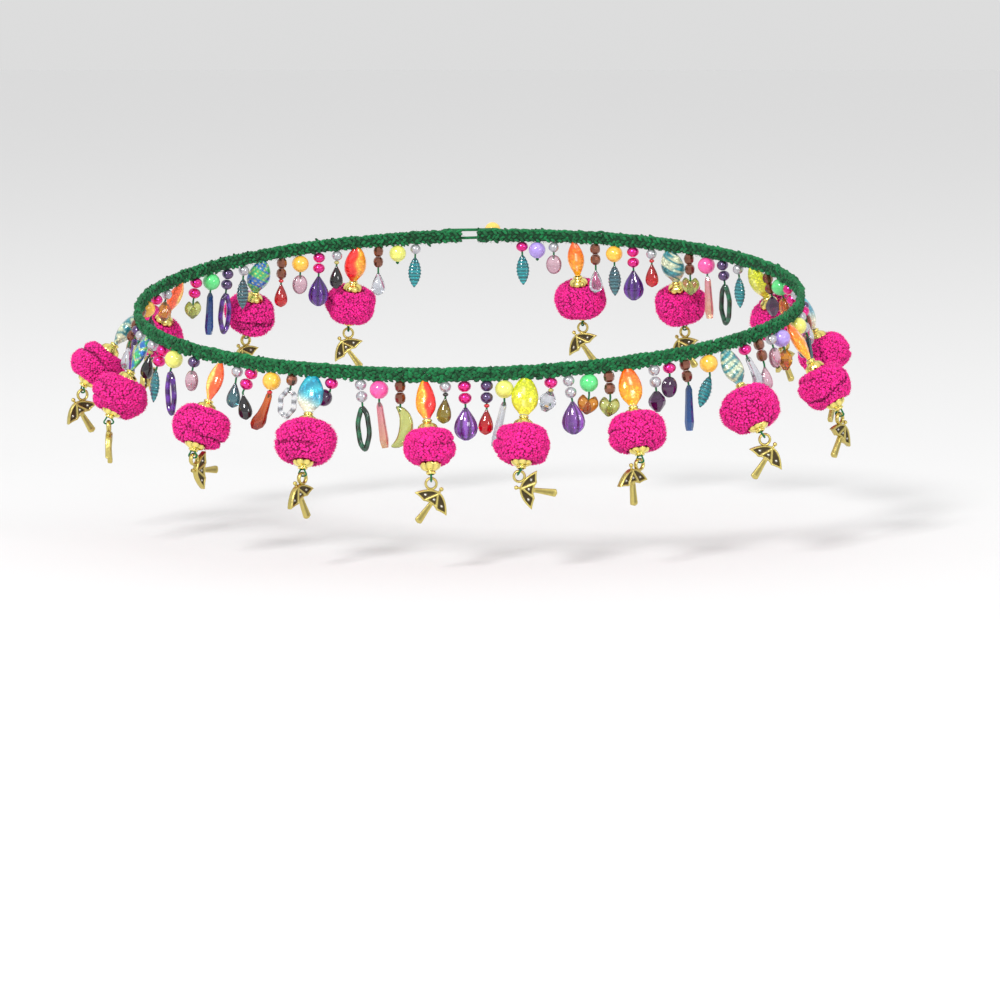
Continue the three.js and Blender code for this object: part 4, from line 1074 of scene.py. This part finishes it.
# ---- the belt ----
CHARM_SHELLS = charm_shells()
crochet_band()
ROW_MARGIN = 4.5  # how far a fringe's row begins before its pendant
starts = [STRINGS[0][0] - ROW_MARGIN] + [p.arc - ROW_MARGIN for p in PENDANTS[1:]] + [HALF_GIRTH]
for number, (low, high, hung) in enumerate(zip(starts, starts[1:], PENDANTS)):
    bead_fringe(number, hung, [s for s in STRINGS if low < s[0] < high])
    pompom(number, hung)
    charm(number, hung)
closure()


# ---- studio, in metres ----
FLOOR_LEVEL, FLOOR_HALF, FLOOR_TONE = -0.128, 30, 0.82
# The sky's strength, from the level of the eye up
SKY = {"From_Min": 0.0, "From_Max": 0.9, "To_Min": 0.72, "To_Max": 0.9}
LIGHTS = (("key", (-1.6, -3.4, 2.6), 0.9, 120), ("fill", (2.2, -2.6, 1.0), 0.8, 22))
LIGHT_AIM = Vector((0, 0, -0.02))
CAMERA_PLACE, CAMERA_AIM, LENS = Vector((0.01615, -1.9851, 0.1374)), Vector((0.01615, 0, -0.1063)), 135.36


def studio():
    scene = bpy.context.scene
    scene.view_settings.view_transform = "Standard"
    mesh = bpy.data.meshes.new("floor")
    corners = ((-1, -1), (1, -1), (1, 1), (-1, 1))
    points = [(FLOOR_HALF * x, FLOOR_HALF * y, FLOOR_LEVEL) for x, y in corners]
    mesh.from_pydata(points, [], [(0, 1, 2, 3)])
    floor = bpy.data.objects.new("floor", mesh)
    scene.collection.objects.link(floor)
    paint = bpy.data.materials.new("floor_paint")
    paint.use_nodes = True
    shader = paint.node_tree.nodes["Principled BSDF"]
    shader.inputs["Base Color"].default_value = (FLOOR_TONE, FLOOR_TONE, FLOOR_TONE, 1)
    shader.inputs["Roughness"].default_value = 0.9
    mesh.materials.append(paint)
    world = bpy.data.worlds.new("studio")
    world.use_nodes = True
    tree = world.node_tree
    place = add_node(tree, "ShaderNodeTexCoord")
    split = add_node(tree, "ShaderNodeSeparateXYZ")
    rise = add_node(tree, "ShaderNodeMapRange", **SKY)
    sky = tree.nodes["Background"]
    sky.inputs["Color"].default_value = (1, 1, 1, 1)
    tree.links.new(place.outputs["Generated"], split.inputs["Vector"])
    tree.links.new(split.outputs["Z"], rise.inputs["Value"])
    tree.links.new(rise.outputs["Result"], sky.inputs["Strength"])
    scene.world = world
    for name, place, size, power in LIGHTS:
        light = bpy.data.lights.new(name, "AREA")
        light.size, light.energy = size, power
        lamp = bpy.data.objects.new(name, light)
        lamp.location = place
        lamp.rotation_euler = (LIGHT_AIM - Vector(place)).to_track_quat("-Z", "Y").to_euler()
        scene.collection.objects.link(lamp)
    data = bpy.data.cameras.new("camera")
    data.sensor_width, data.lens = 36, LENS
    data.clip_start, data.clip_end = 0.05, 100
    camera = bpy.data.objects.new("camera", data)
    camera.location = CAMERA_PLACE
    camera.rotation_euler = (CAMERA_AIM - CAMERA_PLACE).to_track_quat("-Z", "Y").to_euler()
    scene.collection.objects.link(camera)
    scene.camera = camera


studio()
